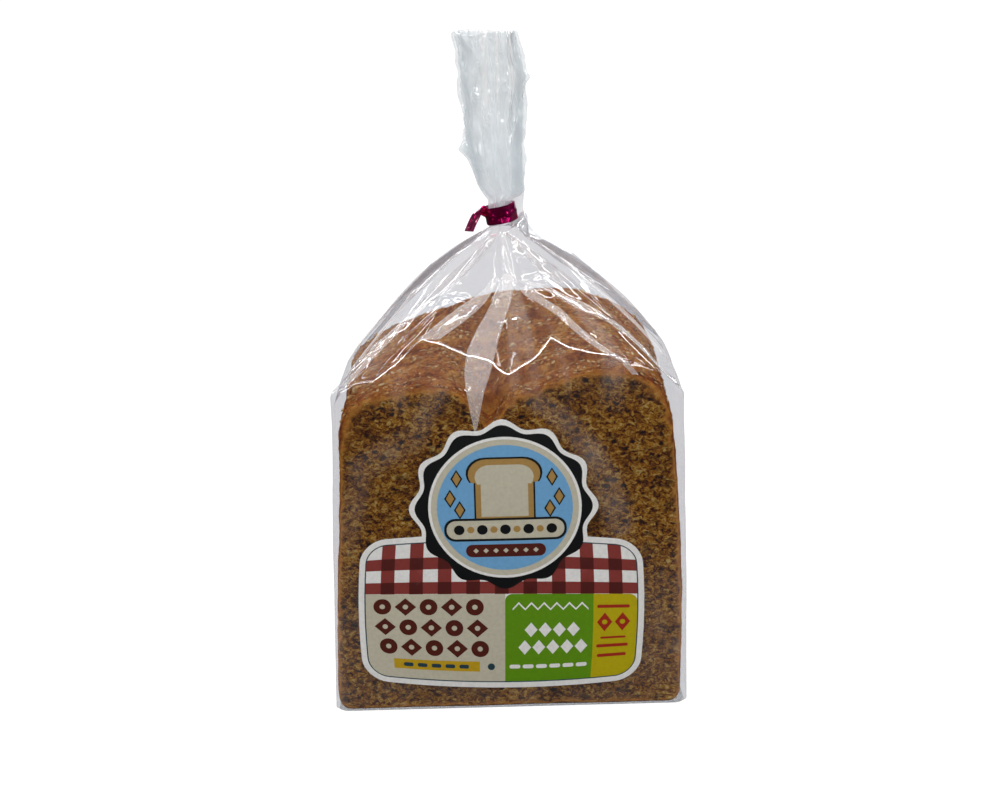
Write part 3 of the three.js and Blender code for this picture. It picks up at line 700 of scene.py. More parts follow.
def collar_point(turn, share):
    puff = bump_round(turn, PUFF_TURN, PUFF_WIDTH)
    radius = mix(mix(COLLAR_OUTSIDE, COLLAR_INSIDE, share), mix(PUFF_REACH, PUFF_INSIDE, share), puff)
    arch = math.sin(math.pi * mix(0.3, 0.9, share))
    angle = 2 * np.pi * turn - np.pi / 2
    uneven = [noise.noise(Vector((3 * math.cos(a), 3 * math.sin(a), share))) for a in angle]
    radius = radius + (0.9 * np.array(uneven) - 0.3)
    z = NECK_FOOT - COLLAR_DROP * (1 - share) + PUFF_HEIGHT * arch * puff
    return np.stack([NECK_CENTRE_X + radius * np.cos(angle), radius * np.sin(angle), z], -1)


# Pleats: the places that each runs through as turn, level and width in millimetres
PLEATS = [
    [(0.012, 0.62, 3), (0.004, 0.549, 5), (0.9845, 0.282, 7.4), (0.9785, 0.079, 7.4), (0.977, -0.12, 0.6)],
    [(0.985, 0.62, 2.0), (0.979, 0.554, 3.0), (0.9545, 0.351, 4.6), (0.937, 0.188, 5.2)],
    [(0.935, 0.7, 2.0), (0.926, 0.629, 2.6), (0.9, 0.406, 4.0), (0.89, 0.203, 4.0), (0.887, 0.02, 3.0)],
    [(0.03, 0.58, 1.4), (0.0455, 0.505, 1.8), (0.0805, 0.342, 3.6), (0.1075, 0.243, 5.4), (0.122, 0.05, 6.0)],
    [(0.03, 0.53, 2.6), (0.035, 0.47, 3.0), (0.052, 0.327, 2.6), (0.0705, 0.074, 2.2), (0.089, -0.03, 2.0)],
    [(0.17, 0.8, 2.0), (0.19, 0.45, 4.0), (0.2, 0.1, 5.0)],
    [(0.84, 0.8, 2.0), (0.82, 0.45, 4.0), (0.8, 0.1, 5.0)],
    [(0.47, 0.85, 3.0), (0.45, 0.45, 6.0), (0.44, 0.02, 8.0)],
    [(0.53, 0.85, 3.0), (0.55, 0.45, 5.0), (0.57, 0.05, 6.0)],
    [(0.35, 0.85, 2.5), (0.34, 0.45, 4.0), (0.33, 0.05, 5.0)],
    [(0.65, 0.85, 2.5), (0.66, 0.45, 4.0), (0.67, 0.05, 5.0)],
]
PLEAT_ROWS, PLEAT_COLUMNS, PLEAT_LIFT = 44, 8, 0.2


def pleat_rings(places):
    """A pleat as a flat closed strip just over the film: across its outer layer and back along the inner."""
    first_turn = places[0][0]
    turns = [first_turn + round_apart(place[0], first_turn) for place in places]
    steps = list(range(len(places)))
    rings = []
    for k in range(PLEAT_ROWS + 1):
        at = k / PLEAT_ROWS * steps[-1]
        middle = smooth_row(steps, turns, at)
        level = smooth_row(steps, [place[1] for place in places], at)
        width = smooth_row(steps, [place[2] for place in places], at)
        width = width / mix(AROUND_RIM, AROUND_NECK, max(0, level))
        across = middle + np.linspace(-0.5, 0.5, PLEAT_COLUMNS + 1) * width
        outer = film_point(across, level, 2 * PLEAT_LIFT)
        inner = film_point(across, level, PLEAT_LIFT)
        rings.append(np.concatenate([outer, inner[::-1]]))
    return closed(rings)


# Where the front film lies on the crumb and looks hazy: two points across and up, half width and strength
HAZES = [
    ((8.5, 107), (20, 97.5), 3.4, 0.09),
    ((20, 97.5), (27, 88), 3.8, 0.1),
    ((27, 88), (32, 78), 4.2, 0.1),
    ((32, 78), (36, 64), 4.6, 0.09),
    ((-21, 108), (-29, 94), 3.6, 0.06),
    ((-29, 94), (-46, 84), 4.4, 0.06),
    ((-46, 84), (-52, 58), 4.0, 0.05),
    ((-56, 22), (56, 22), 30.0, 0.06),
]


def film_haze(ring):
    """The veil over each point of a ring of the film."""
    x, y, z = ring.T
    veil = np.zeros(len(x))
    for begin, end, half_width, strength in HAZES:
        begin, span = np.array(begin), np.subtract(end, begin)
        here = np.stack([x, z], 1) - begin
        along = np.clip(here @ span / (span @ span), 0, 1)
        distance = np.hypot(*(here - along[:, None] * span).T)
        veil = np.maximum(veil, strength * np.exp(-((distance / half_width) ** 4)))
    veil *= y < -45
    blotches = [
        0.9 + 0.5 * noise.noise(Vector(place) / 6) + 0.4 * noise.noise(Vector(place) / 2.5) for place in ring
    ]
    on_dome = np.clip((z - 100) / 12, 0, 1)
    near_neck = np.clip((z - 130) / 18, 0, 1)
    on_sides = 0.05 * np.clip((np.abs(x) - 53) / 3, 0, 1)
    angle = np.arctan2(y, x)
    rays = [noise.noise(Vector((8 * math.cos(a), 8 * math.sin(a), up / 55))) for a, up in zip(angle, z)]
    rays = 0.1 * np.clip(4 * np.array(rays) - 0.5, 0, 1) * on_dome
    return (veil + 0.015 * on_dome + rays + on_sides) * blotches + 0.04 * near_neck**2


def clear_film(name, tint, veil, veil_share=0.0, crinkled=0.08, milk_colour="#eae7e4", straight_on=0.07):
    """Cast polypropylene film: clear and glossy, with fine crinkles. Each layer holds back a little light
    and adds a faint milky veil, more at a grazing view and where the veil attribute is, so folded film looks
    white. It mirrors 7 % straight on and 13 % at a grazing view, as its crinkles scatter the rest."""
    material = finish_named(name)
    place = add_node(material, "TexCoord").outputs["Object"]
    noise_inputs = {"Vector": place, "Scale": 140.0, "Detail": 2.0, "Distortion": 0.6}
    crinkle = add_node(material, "TexNoise", noise_inputs)
    bump = add_node(material, "Bump", {"Height": crinkle, "Strength": crinkled, "Distance": 0.0014})
    through = add_node(material, "BsdfTransparent", {"Color": tint})
    near_side = add_node(material, "BsdfDiffuse", {"Color": milk_colour})
    far_colour = [0.6 * part for part in linear(milk_colour)]
    far_side = add_node(material, "BsdfTranslucent", {"Color": far_colour})
    milk = add_node(material, "AddShader", {0: near_side, 1: far_side})
    shine = add_node(material, "BsdfGlossy", {"Color": "#ffffff", "Roughness": 0.05, "Normal": bump})
    milky = add_node(material, "Attribute", attribute_name="veil").outputs["Fac"]
    grazing = add_node(material, "LayerWeight", {"Blend": 0.5}).outputs["Facing"]
    grazing = add_node(material, "Math", {0: grazing, 1: 4.0}, operation="POWER")
    share = add_node(material, "Math", {0: grazing, 1: 0.12, 2: veil}, operation="MULTIPLY_ADD")
    share = {0: milky, 1: veil_share, 2: share}
    share = add_node(material, "Math", share, operation="MULTIPLY_ADD", use_clamp=True)
    body = add_node(material, "MixShader", {0: share, 1: through, 2: milk})
    facing = add_node(material, "LayerWeight", {"Blend": 0.5, "Normal": bump}).outputs["Facing"]
    steep = add_node(material, "Math", {0: facing, 1: 5.0}, operation="POWER")
    gloss = add_node(material, "Math", {0: steep, 1: 0.06, 2: straight_on}, operation="MULTIPLY_ADD")
    whole = add_node(material, "MixShader", {0: gloss, 1: body, 2: shine})
    add_node(material, "OutputMaterial", {"Surface": whole})
    return material


WALL_ROWS, DOME_ROWS, COLLAR_ROWS = 60, 70, 14
NECK_HEIGHTS = (NECK_FOOT, 154, 156)
film_rings = [block_point(0 * TURNS, 0 * TURNS, 0.0)]
film_rings.append(block_point(OUTLINE[:, 0], OUTLINE[:, 1], 0.0, FOOT_ROUNDING))
film_rings += [film_point(TURNS, k / WALL_ROWS - 1) for k in range(WALL_ROWS + 1)]
film_rings += [film_point(TURNS, DOME_END * (k / DOME_ROWS) ** 1.1) for k in range(1, DOME_ROWS + 1)]
film_rings += [collar_point(TURNS, k / (COLLAR_ROWS - 1)) for k in range(COLLAR_ROWS)]
film_rings += [neck_point(TURNS, z) for z in NECK_HEIGHTS]
film_rings.append(np.broadcast_to([NECK_CENTRE_X, 0, NECK_HEIGHTS[-1]], film_rings[0].shape))
film_body = roll_up("film_bag", film_rings, veil=[film_haze(ring) for ring in film_rings])
pleats = [roll_up(f"pleat_{i}", pleat_rings(pleat), veil=0.0) for i, pleat in enumerate(PLEATS)]
film_body.data.materials.append(clear_film("clear_polypropylene_film", "#e6e7ea", 0.008, 1.0))
folded_film = clear_film("clear_film_in_pleats", "#fbfbfb", 0.13, 0.0, 0.02, "#ffffff", 0.02)
for pleat in pleats:
    pleat.data.materials.append(folded_film)
select_only(film_body, *pleats)
bpy.ops.object.join()
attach(film_body, "root")
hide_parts("bag")

# The tail
# The rest of the same film above the tie, pressed flat by handling: many layers side by side, so it looks
# grey-white, with long upright folds, a few that cross it, and an edge cut straight at its mouth.

TAIL_TOP, TAIL_HALF_DEPTH, MOUTH_INSET, TAIL_MOUTH_WAVE = 216, 6.4, 0.45, 0.5
TAIL_SHARE = [0, 0.04, 0.1, 0.22, 0.32, 0.54, 0.75, 0.9, 1]
TAIL_HALF_WIDTH = [4.15, 6.9, 8, 9.6, 10.4, 10.9, 11.5, 11, 10.7]
TAIL_MIDDLE_X = [0.6, 1.7, 0.8, -0.1, -0.8, -0.8, -0.9, -1.8, -2.6]
TAIL_POINTS = [(0.75, 0.31, 3.4), (0.25, 0.73, 2.6), (0.75, 0.965, 1.6)]
TAIL_POINT_TURN, TAIL_POINT_SHARE = 0.025, 0.04
TAIL_WAVE, TAIL_WAVES_UP, TAIL_WAVES_ROUND = 0.45, 3, 6
TAIL_FOLD_DEPTH, TAIL_OPENING_SHARE = 2.2, 0.25
TAIL_ROWS, TAIL_COLUMNS = 130, 420
INNER_ROWS = TAIL_ROWS * 3 // 4
TAIL_START = 156.4
# The way round the tail and its length, on which its creases are measured
TAIL_AROUND, TAIL_LENGTH = 70, 56
# Upright lines of the upper tail where fewer layers lie over each other: place across and half width
CLEARER_LINES = [(-3.4, 1.1), (5.2, 0.9), (0.8, 0.5)]
# A fold of film that the tie misses on its right side: height, place across and in depth, and half width
LOOSE_FOLD = [
    (146.4, 13.6, 2.0, 1.2),
    (148.6, 10.4, 3.0, 2.2),
    (151.5, 7.6, 3.4, 2.5),
    (155.0, 6.4, 3.7, 2.2),
    (158.5, 6.2, 3.6, 2.1),
    (163.0, 6.4, 3.0, 2.3),
    (168.0, 6.8, 2.2, 2.0),
    (172.0, 7.0, 1.8, 1.4),
]


def tail_creases():
    """Creases of the tail: turn and share at both ends, height and half width in millimetres."""
    draw = random.Random(21)
    creases = [
        (0.86, 0.98, 0.05, 0.66, 1.2, 0.9),
        (0.85, 0.24, 0.0, 0.04, 1.3, 0.9),
        (0.9, 0.3, 0.03, 0.02, 1.0, 0.8),
        (0.94, 1.0, 0.95, 0.7, 0.8, 0.6),
        (0.06, 1.0, 0.05, 0.66, 0.8, 0.6),
        (0.96, 0.45, 0.01, 0.1, 0.9, 0.8),
    ]
    for _ in range(80):
        turn, share = draw.random(), draw.random()
        length = draw.uniform(0.08, 0.4)
        slant = draw.gauss(0, 0.07)
        height = draw.choice((1, -1)) * draw.uniform(0.15, 0.7)
        ends = (turn, share - length / 2, turn + slant, share + length / 2)
        creases.append((*ends, height, draw.uniform(0.3, 1.1)))
    return creases


TAIL_CREASES = tail_creases()


def tail_point(turn, share, inset=0.0, thinner=1.0):
    opening = np.minimum(1, share / TAIL_OPENING_SHARE)
    ruffle = TAIL_WAVE * np.sin(2 * np.pi * (TAIL_WAVES_UP * share + TAIL_WAVES_ROUND * turn))
    for at, height, reach in TAIL_POINTS:
        near = np.exp(-(((share - height) / TAIL_POINT_SHARE) ** 2))
        ruffle = ruffle + reach * bump_round(turn, at, TAIL_POINT_TURN) * near
    relief = np.zeros(np.shape(turn))
    for turn_a, share_a, turn_b, share_b, high, half_width in TAIL_CREASES:
        span = np.array([round_apart(turn_b, turn_a) * TAIL_AROUND, (share_b - share_a) * TAIL_LENGTH])
        upwards = (share - share_a) * TAIL_LENGTH + 0 * turn
        here = np.stack([round_apart(turn, turn_a) * TAIL_AROUND, upwards], -1)
        along = np.clip(here @ span / (span @ span), 0, 1)
        distance = np.sqrt(((here - along[..., None] * span) ** 2).sum(-1) + 0.04)
        relief += high * np.exp(-distance / half_width)
    angle = 2 * np.pi * turn
    crinkles = [
        0.55 * abs(noise.noise(Vector((3.4 * math.cos(a), 3.4 * math.sin(a), 7.5 * share))))
        + 0.5 * abs(noise.noise(Vector((8 * math.cos(a), 8 * math.sin(a), 13 * share + 5))))
        - 0.3
        for a in angle
    ]
    out = opening * (ruffle + relief + 1.6 * np.array(crinkles)) - inset
    wave = TAIL_MOUTH_WAVE * np.sin(4 * np.pi * turn) * share**6
    return gathered_point(
        turn,
        (smooth_row(TAIL_SHARE, TAIL_HALF_WIDTH, share) + out) * thinner,
        (mix(NECK_RADIUS, TAIL_HALF_DEPTH, opening) + out / 2) * thinner,
        smooth_row(TAIL_SHARE, TAIL_MIDDLE_X, share),
        mix(NECK_FOLD_DEPTH, TAIL_FOLD_DEPTH, opening),
        mix(NECK_TOP, TAIL_TOP, share) + wave,
    )


def tail_rings():
    """The tail up its outer film to the mouth, and down its inner film, whose folds lie elsewhere."""
    turns = np.arange(TAIL_COLUMNS) / TAIL_COLUMNS
    neck = [neck_point(turns, z) for z in (TAIL_START, 158.5, NECK_TOP)]
    rings = [np.broadcast_to([NECK_CENTRE_X, 0, TAIL_START], neck[0].shape), *neck]
    rings += [tail_point(turns, k / TAIL_ROWS) for k in range(1, TAIL_ROWS + 1)]
    rings.append(tail_point(turns, 1.0, MOUTH_INSET))
    for k in range(1, INNER_ROWS):
        down = k / INNER_ROWS
        within = min(1, 3 * down)
        inner_turns = turns + 0.06 * within
        rings.append(tail_point(inner_turns, 1 - 0.97 * down, MOUTH_INSET, mix(0.95, 0.93, within)))
    rings.append(mix(neck[2], neck[2].mean(0), 0.3))
    rings.append(np.broadcast_to([NECK_CENTRE_X, 0, TAIL_START + 1], neck[0].shape))
    return rings


def loose_fold_rings():
    """The loose fold as a flat tube from the shoulder of the bag up into the tail."""
    heights, across, depth, half_width = np.array(LOOSE_FOLD).T
    turns = 2 * np.pi * np.arange(24) / 24
    rings = []
    for z in np.linspace(heights[0], heights[-1], 60):
        wide = smooth_row(heights, half_width, z)
        x = smooth_row(heights, across, z) + wide * np.cos(turns) + 0.25 * noise.noise(Vector((3, 0, z / 3)))
        y = smooth_row(heights, depth, z) + 0.6 * np.sin(turns) + 0.4 * np.cos(turns)
        rings.append(np.stack([x, y, z + 0 * x], 1))
    return closed(rings)


def tail_haze(row, ring):
    """The veil over each point of a ring of the tail: more near the tie, and less on the inner film."""
    x, _, z = ring.T
    veil = 0.24 + 0.2 * np.exp(-np.maximum(0, z - NECK_TOP) / 26)
    veil *= 1.0 if row < TAIL_ROWS + 4 else 0.6
    veil += [0.12 * noise.noise(Vector((a / 5, b / 5, c / 12))) for a, b, c in ring]
    for across, half_width in CLEARER_LINES:
        veil -= 0.14 * np.clip((z - 184) / 12, 0, 1) * np.exp(-(((x - across) / half_width) ** 4))
    return veil.clip(0.02, 1)


rings = tail_rings()
film_tail = roll_up("film_tail", rings, veil=[tail_haze(row, ring) for row, ring in enumerate(rings)])
loose_fold = roll_up("loose_fold", loose_fold_rings(), veil=0.34)
select_only(film_tail, loose_fold)
bpy.ops.object.join()
film_tail.data.materials.append(clear_film("clear_film_gathered", "#fbfbfb", 0.0, 1.0, 1.0, "#c8cdd0"))
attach(film_tail, "root")
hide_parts("bag")

# The twist tie
# A ribbon of lacquered magenta foil on a paper core, 5.8 mm wide, with a soft iron wire down its middle. It
# is wound once round the gathered film by machine, and its two ends stick out and bend down.

RIBBON_WIDTH, RIBBON_THICKNESS, WIRE_THICKNESS = 5.8, 0.4, 0.8
LOOP_RADIUS, LOOP_HEIGHT, LOOP_SLOPE = 4.95, 156.3, 0.19
FRONT_END = [(-3.8, -2.2, 156.4), (-6, -3.6, 158.2), (-8, -5, 155.6), (-10, -6.6, 151.6)]
BACK_END = [(-1.6, 4.2, 156.4), (-0.6, 6.4, 157.6), (1, 8.4, 156.2), (2.6, 10.6, 153.4)]
END_ROOT_HALF_WIDTH = 1.2
ACROSS_RIBBON = 12


def ribbon_section(centre, across, out, half_width=RIBBON_WIDTH / 2):
    """The ribbon's closed section: flat, with the wire as a rounded ridge down both faces."""
    ways = np.linspace(-1, 1, ACROSS_RIBBON + 1)
    ridge = np.exp(-((ways * half_width / 0.45) ** 2))
    thick = RIBBON_THICKNESS / 2 + (WIRE_THICKNESS - RIBBON_THICKNESS) / 2 * ridge
    width = np.concatenate([ways, ways[::-1]]) * half_width
    depth = np.concatenate([-thick, thick[::-1]])
    return centre + width[:, None] * across + depth[:, None] * out


def ribbon_loop():
    up = np.array([-LOOP_SLOPE, 0, 1]) / math.hypot(LOOP_SLOPE, 1)
    rings = []
    for angle in np.linspace(0, 2 * math.pi, 121):
        away = np.array([math.cos(angle), math.sin(angle), 0])
        dent = 0.12 * math.sin(5 * angle + 0.6) + 0.07 * math.sin(11 * angle)
        centre = np.array([NECK_CENTRE_X, 0, LOOP_HEIGHT + LOOP_SLOPE * LOOP_RADIUS * away[0]])
        rings.append(ribbon_section(centre + away * (LOOP_RADIUS + dent), up, away))
    return rings


def ribbon_end(path, across_end):
    """An end of the ribbon, which leaves the loop upright and narrow and turns on its way."""
    path = np.array(path, float)
    lengths = np.append(0, np.cumsum(np.linalg.norm(np.diff(path, axis=0), axis=1)))
    def at(share):
        place = min(1, max(0, share)) * lengths[-1]
        return np.array([smooth_row(lengths, path[:, i], place) for i in range(3)])

    rings = []
    for share in np.linspace(0, 1, 31):
        tangent = at(share + 0.01) - at(share - 0.01)
        tangent /= np.linalg.norm(tangent)
        turned = min(1, 2 * share)
        across = mix(np.array([0, 0, 1.0]), np.array(across_end), turned)
        across -= tangent * (across @ tangent)
        across /= np.linalg.norm(across)
        half_width = mix(END_ROOT_HALF_WIDTH, RIBBON_WIDTH / 2, turned)
        rings.append(ribbon_section(at(share), across, np.cross(tangent, across), half_width))
    return closed(rings)


def lacquered_foil():
    """Aluminium foil under magenta lacquer, rolled and slightly crinkled: a coloured mirror, sharp and dark
    where it faces away from the lights."""
    material = finish_named("magenta_lacquered_foil")
    place = add_node(material, "TexCoord").outputs["Object"]
    crinkle = add_node(material, "TexNoise", {"Vector": place, "Scale": 170.0, "Detail": 2.0})
    bump = add_node(material, "Bump", {"Height": crinkle, "Strength": 1.0, "Distance": 0.003})
    shade = add_node(material, "ValToRGB", {"Fac": crinkle}, [(0.35, "#a0064e"), (0.65, "#d01478")])
    mirror = {"Metallic": 0.86, "Roughness": 0.14}
    shader = add_node(material, "BsdfPrincipled", {"Base Color": shade, "Normal": bump, **mirror})
    add_node(material, "OutputMaterial", {"Surface": shader})
    return material


twist_tie = roll_up("tie_ribbon", ribbon_loop())
front_end = roll_up("tie_front_end", ribbon_end(FRONT_END, (0.4, -0.9, 0)))
back_end = roll_up("tie_back_end", ribbon_end(BACK_END, (0.9, 0.4, 0)))
select_only(twist_tie, front_end, back_end)
bpy.ops.object.join()
bpy.ops.object.shade_smooth_by_angle(angle=math.radians(40))
twist_tie.data.materials.append(lacquered_foil())
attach(twist_tie, "root")
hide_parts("twist_tie")

# The label
# One die-cut piece of white coated paper, self-adhesive, stuck to the film over the first slice: a scalloped
# round badge on a panel with bowed sides. It is printed in flat colours, and the ink has no thickness.

LABEL_GAP, LABEL_THICKNESS = 0.32, 0.4
LABEL_TILT = math.radians(-1.3)
PANEL_MIDDLE = (-2.5, 34.9)
PANEL_HALF_WIDTH, PANEL_HALF_HEIGHT, PANEL_RADIUS = 46.3, 26.7, 8
PANEL_BOW_HEIGHT, PANEL_BOW_WIDTH = 0.11, 0.03
BADGE_MIDDLE = (-0.9, 70.2)
BADGE_RADIUS, SCALLOPS, SCALLOP_DEPTH = 28.9, 12, 1.4
# The film bends back under the badge, so it is seen a little lower than wide
BADGE_FLATNESS, BADGE_RISE = 0.96, 0.2
PRINT = {
    "paper white": "#f6f4f0",
    "ink teal": "#24424c",
    "ink red": "#8d3a34",
    "ink dark red": "#541c18",
    "ink cream": "#cdc6b0",
    "ink green": "#63970c",
    "ink yellow": "#c2b006",
    "ink maroon": "#541c12",
    "ink gold": "#c9a21c",
    "ink black": "#0a0b0d",
    "ink blue": "#74aedb",
    "ink tan": "#b08a4c",
    "ink bright red": "#a82a18",
}


def rounded_box(left, foot, right, top, radius=0, corners=(1, 1, 1, 1), parts=8):
    """An outline from its lower left corner, anticlockwise; a corner marked 0 stays square."""
    left_low, right_low = (left, foot, 1, 1, 180), (right, foot, -1, 1, 270)
    right_high, left_high = (right, top, -1, -1, 0), (left, top, 1, -1, 90)
    points = []
    for (x, z, in_x, in_z, begin), is_round in zip((left_low, right_low, right_high, left_high), corners):
        r = radius * is_round
        for k in range(parts + 1 if r else 1):
            angle = math.radians(begin + 90 * k / parts)
            points.append((x + in_x * r + r * math.cos(angle), z + in_z * r + r * math.sin(angle)))
    return points


def disc(x, z, radius, parts=72, scallop=0.0):
    """A round outline, or a scalloped one."""
    points = []
    for k in range(parts):
        angle = 2 * math.pi * k / parts
        r = radius + scallop * math.cos(SCALLOPS * angle)
        points.append((x + r * math.cos(angle), z + r * math.sin(angle)))
    return points


def lozenge(x, z, half_width, half_height):
    return [(x - half_width, z), (x, z - half_height), (x + half_width, z), (x, z + half_height)]


def toast_shape(x, z, size):
    """The outline of a slice of pan bread, as a plain sign."""
    foot, waist, half = z - size, z + 0.2 * size, 0.8 * size
    right = []
    for a in np.linspace(-0.6, 1.6, 9):
        right.append((x + size * (0.5 + 0.5 * math.cos(a)), z + size * (0.45 + 0.45 * math.sin(a))))
    left = [(2 * x - px, pz) for px, pz in reversed(right)]
    return [(x - half, foot), (x + half, foot), (x + half, waist)] + right + left + [(x - half, waist)]


def bowed(points, parts=6):
    """Panel print from the panel's middle to the label, bowed and tilted as the panel is, in short steps."""
    placed = []
    for (x0, z0), (x1, z1) in zip(points, points[1:] + points[:1]):
        steps = max(1, int(math.hypot(x1 - x0, z1 - z0) / parts))
        for k in range(steps):
            x, z = mix(x0, x1, k / steps), mix(z0, z1, k / steps)
            narrow = x * (1 - PANEL_BOW_WIDTH * (z / PANEL_HALF_HEIGHT) ** 2)
            low = z * (1 - PANEL_BOW_HEIGHT * (x / PANEL_HALF_WIDTH) ** 2)
            cos, sin = math.cos(LABEL_TILT), math.sin(LABEL_TILT)
            across = PANEL_MIDDLE[0] + narrow * cos - low * sin
            up = PANEL_MIDDLE[1] + narrow * sin + low * cos
            placed.append((across, up))
    return placed


def panel_print():
    """The panel's fields in the order of printing: outline, ink, and the field that bounds it."""
    half_w, half_h = PANEL_HALF_WIDTH, PANEL_HALF_HEIGHT
    keyline = bowed(rounded_box(-half_w + 1.9, -half_h + 1.9, half_w - 1.9, half_h - 1.9, 6.6))
    inner = bowed(rounded_box(-half_w + 2.3, -half_h + 2.3, half_w - 2.3, half_h - 2.3, 6.2))
    fields = [(keyline, "ink teal", None), (inner, "paper white", None)]

    def lay(outline, ink):
        fields.append((bowed(outline), ink, inner))

    # The gingham check over the fields: upright bands, and two across that darken where they cross
    split, band, pitch = 6.4, 4.4, 9.25
    band_lefts = [-half_w + 7.2 + k * pitch for k in range(10)]
    for left in band_lefts:
        lay(rounded_box(left, split, left + band, half_h), "ink red")
    for top in (split + 4.3, split + 13.0):
        lay(rounded_box(-half_w, top - 4.2, half_w, top), "ink red")
        for left in band_lefts:
            lay(rounded_box(left, top - 4.2, left + band, top), "ink dark red")
    # The cream field, with rows of round and pointed signs and a gold bar
    lay(rounded_box(-half_w, -half_h, 1.2, split), "ink cream")
    lay(rounded_box(1.2, -half_h, 29.8, split, 2.4, (0, 0, 0, 1)), "ink green")
    lay(rounded_box(29.8, -half_h, half_w - 2.3, split, 2.6, (0, 0, 1, 0)), "ink yellow")
    for row, z in enumerate((1.8, -5.6, -12.9)):
        for k in range(5):
            x = -38.6 + 0.8 * row + k * 7.5
            lay(lozenge(x, z, 3.5, 3.2) if (row + k) % 2 else disc(x, z, 2.9, 24), "ink maroon")
            lay(disc(x, z, 0.9, 12), "ink cream")
    lay(rounded_box(-35.6, -21.0, -7.2, -17.4), "ink gold")
    for k in range(5):
        x = -32.4 + k * 4.6
        lay(rounded_box(x, -20.0, x + 3.2, -18.6, 0.6), "ink teal")
    lay(disc(-3.4, -19.2, 1.2, 20), "ink teal")
    # The green field, with a zigzag, lozenges and dashes
    zigzag = [(3.6, 0.6), (5.6, 2.8), (7.7, 0.6), (7.7, 1.3), (5.6, 3.6), (3.6, 1.3)]
    for k in range(6):
        lay([(x + k * 4.1, z) for x, z in zigzag], "paper white")
    for count, z, left in ((4, -6.2, 7.6), (5, -12.4, 5.6)):
        for k in range(count):
            lay(lozenge(left + 2 + k * 4.6, z, 2.1, 2.6), "paper white")
    for k in range(6):
        left = 2.6 + k * 4.4
        lay(rounded_box(left, -19.9, left + 3.6, -18.5, 0.6), "paper white")
    # The yellow field, with bars and two lozenges
    for left, foot, right, top in (
        (31.0, 1.2, 41.6, 2.4),
        (32.2, -10.2, 40.6, -9.4),
        (31.0, -13.4, 41.4, -12.2),
        (31.4, -17.0, 41.0, -15.8),
    ):
        lay(rounded_box(left, foot, right, top, 0.5), "ink bright red")
    for x in (33.5, 39.3):
        lay(lozenge(x, -4.0, 2.5, 3.5), "ink bright red")
        lay(disc(x, -4.0, 0.9, 12), "ink yellow")
    return fields


def flattened(points):
    return [(x, BADGE_MIDDLE[1] + BADGE_RISE + (z - BADGE_MIDDLE[1]) * BADGE_FLATNESS) for x, z in points]


def badge_print():
    """The badge's rings, and a plain picture of a slice of bread over a ribbon."""
    x, z = BADGE_MIDDLE[0] + 0.4, BADGE_MIDDLE[1]
    blue = disc(x, z, 21.7)
    fields = [
        (disc(*BADGE_MIDDLE, 27.3, 144, 1.15), "ink black", None),
        (disc(x, z, 24.5), "paper white", None),
        (disc(x, z, 23.6), "ink cream", None),
        (blue, "ink blue", None),
        (toast_shape(x, z + 6.6, 12.2), "ink black", blue),
        (toast_shape(x, z + 6.6, 11.5), "ink tan", blue),
        (toast_shape(x, z + 6.5, 9.4), "ink cream", blue),
    ]
    for side in (-1, 1):
        for far, high in ((15.2, 10.4), (17.4, 3.6), (14.4, -0.4)):
            fields.append((lozenge(x + side * far, z + high, 1.9, 3.2), "ink black", blue))
            fields.append((lozenge(x + side * far, z + high, 1.3, 2.4), "ink tan", blue))
    fields += [
        (rounded_box(x - 19.6, z - 11.4, x + 19.6, z - 3.4, 3.6), "ink black", None),
        (rounded_box(x - 18.8, z - 10.6, x + 18.8, z - 4.2, 3.0), "ink cream", None),
        (rounded_box(x - 12.8, z - 17.0, x + 12.8, z - 12.6, 2.1), "ink maroon", None),
    ]
    for k in range(9):
        radius, ink = (1.15, "ink tan") if k % 2 else (1.7, "ink black")
        fields.append((disc(x - 14.8 + k * 3.7, z - 7.4, radius, 20), ink, None))
    for k in range(7):
        fields.append((lozenge(x - 9.6 + k * 3.2, z - 14.8, 0.9, 0.9), "ink cream", None))
    return fields


def inside(points, outline):
    """Which of the points lie in an outline."""
    x, z = points[:, 0, None], points[:, 1, None]
    a, b = np.array(outline), np.roll(np.array(outline), -1, 0)
    crosses = (a[:, 1] > z) != (b[:, 1] > z)
    rise = np.where(b[:, 1] == a[:, 1], 1e-9, b[:, 1] - a[:, 1])
    at = a[:, 0] + (z - a[:, 1]) / rise * (b[:, 0] - a[:, 0])
    return (crosses & (x < at)).sum(1) % 2 == 1


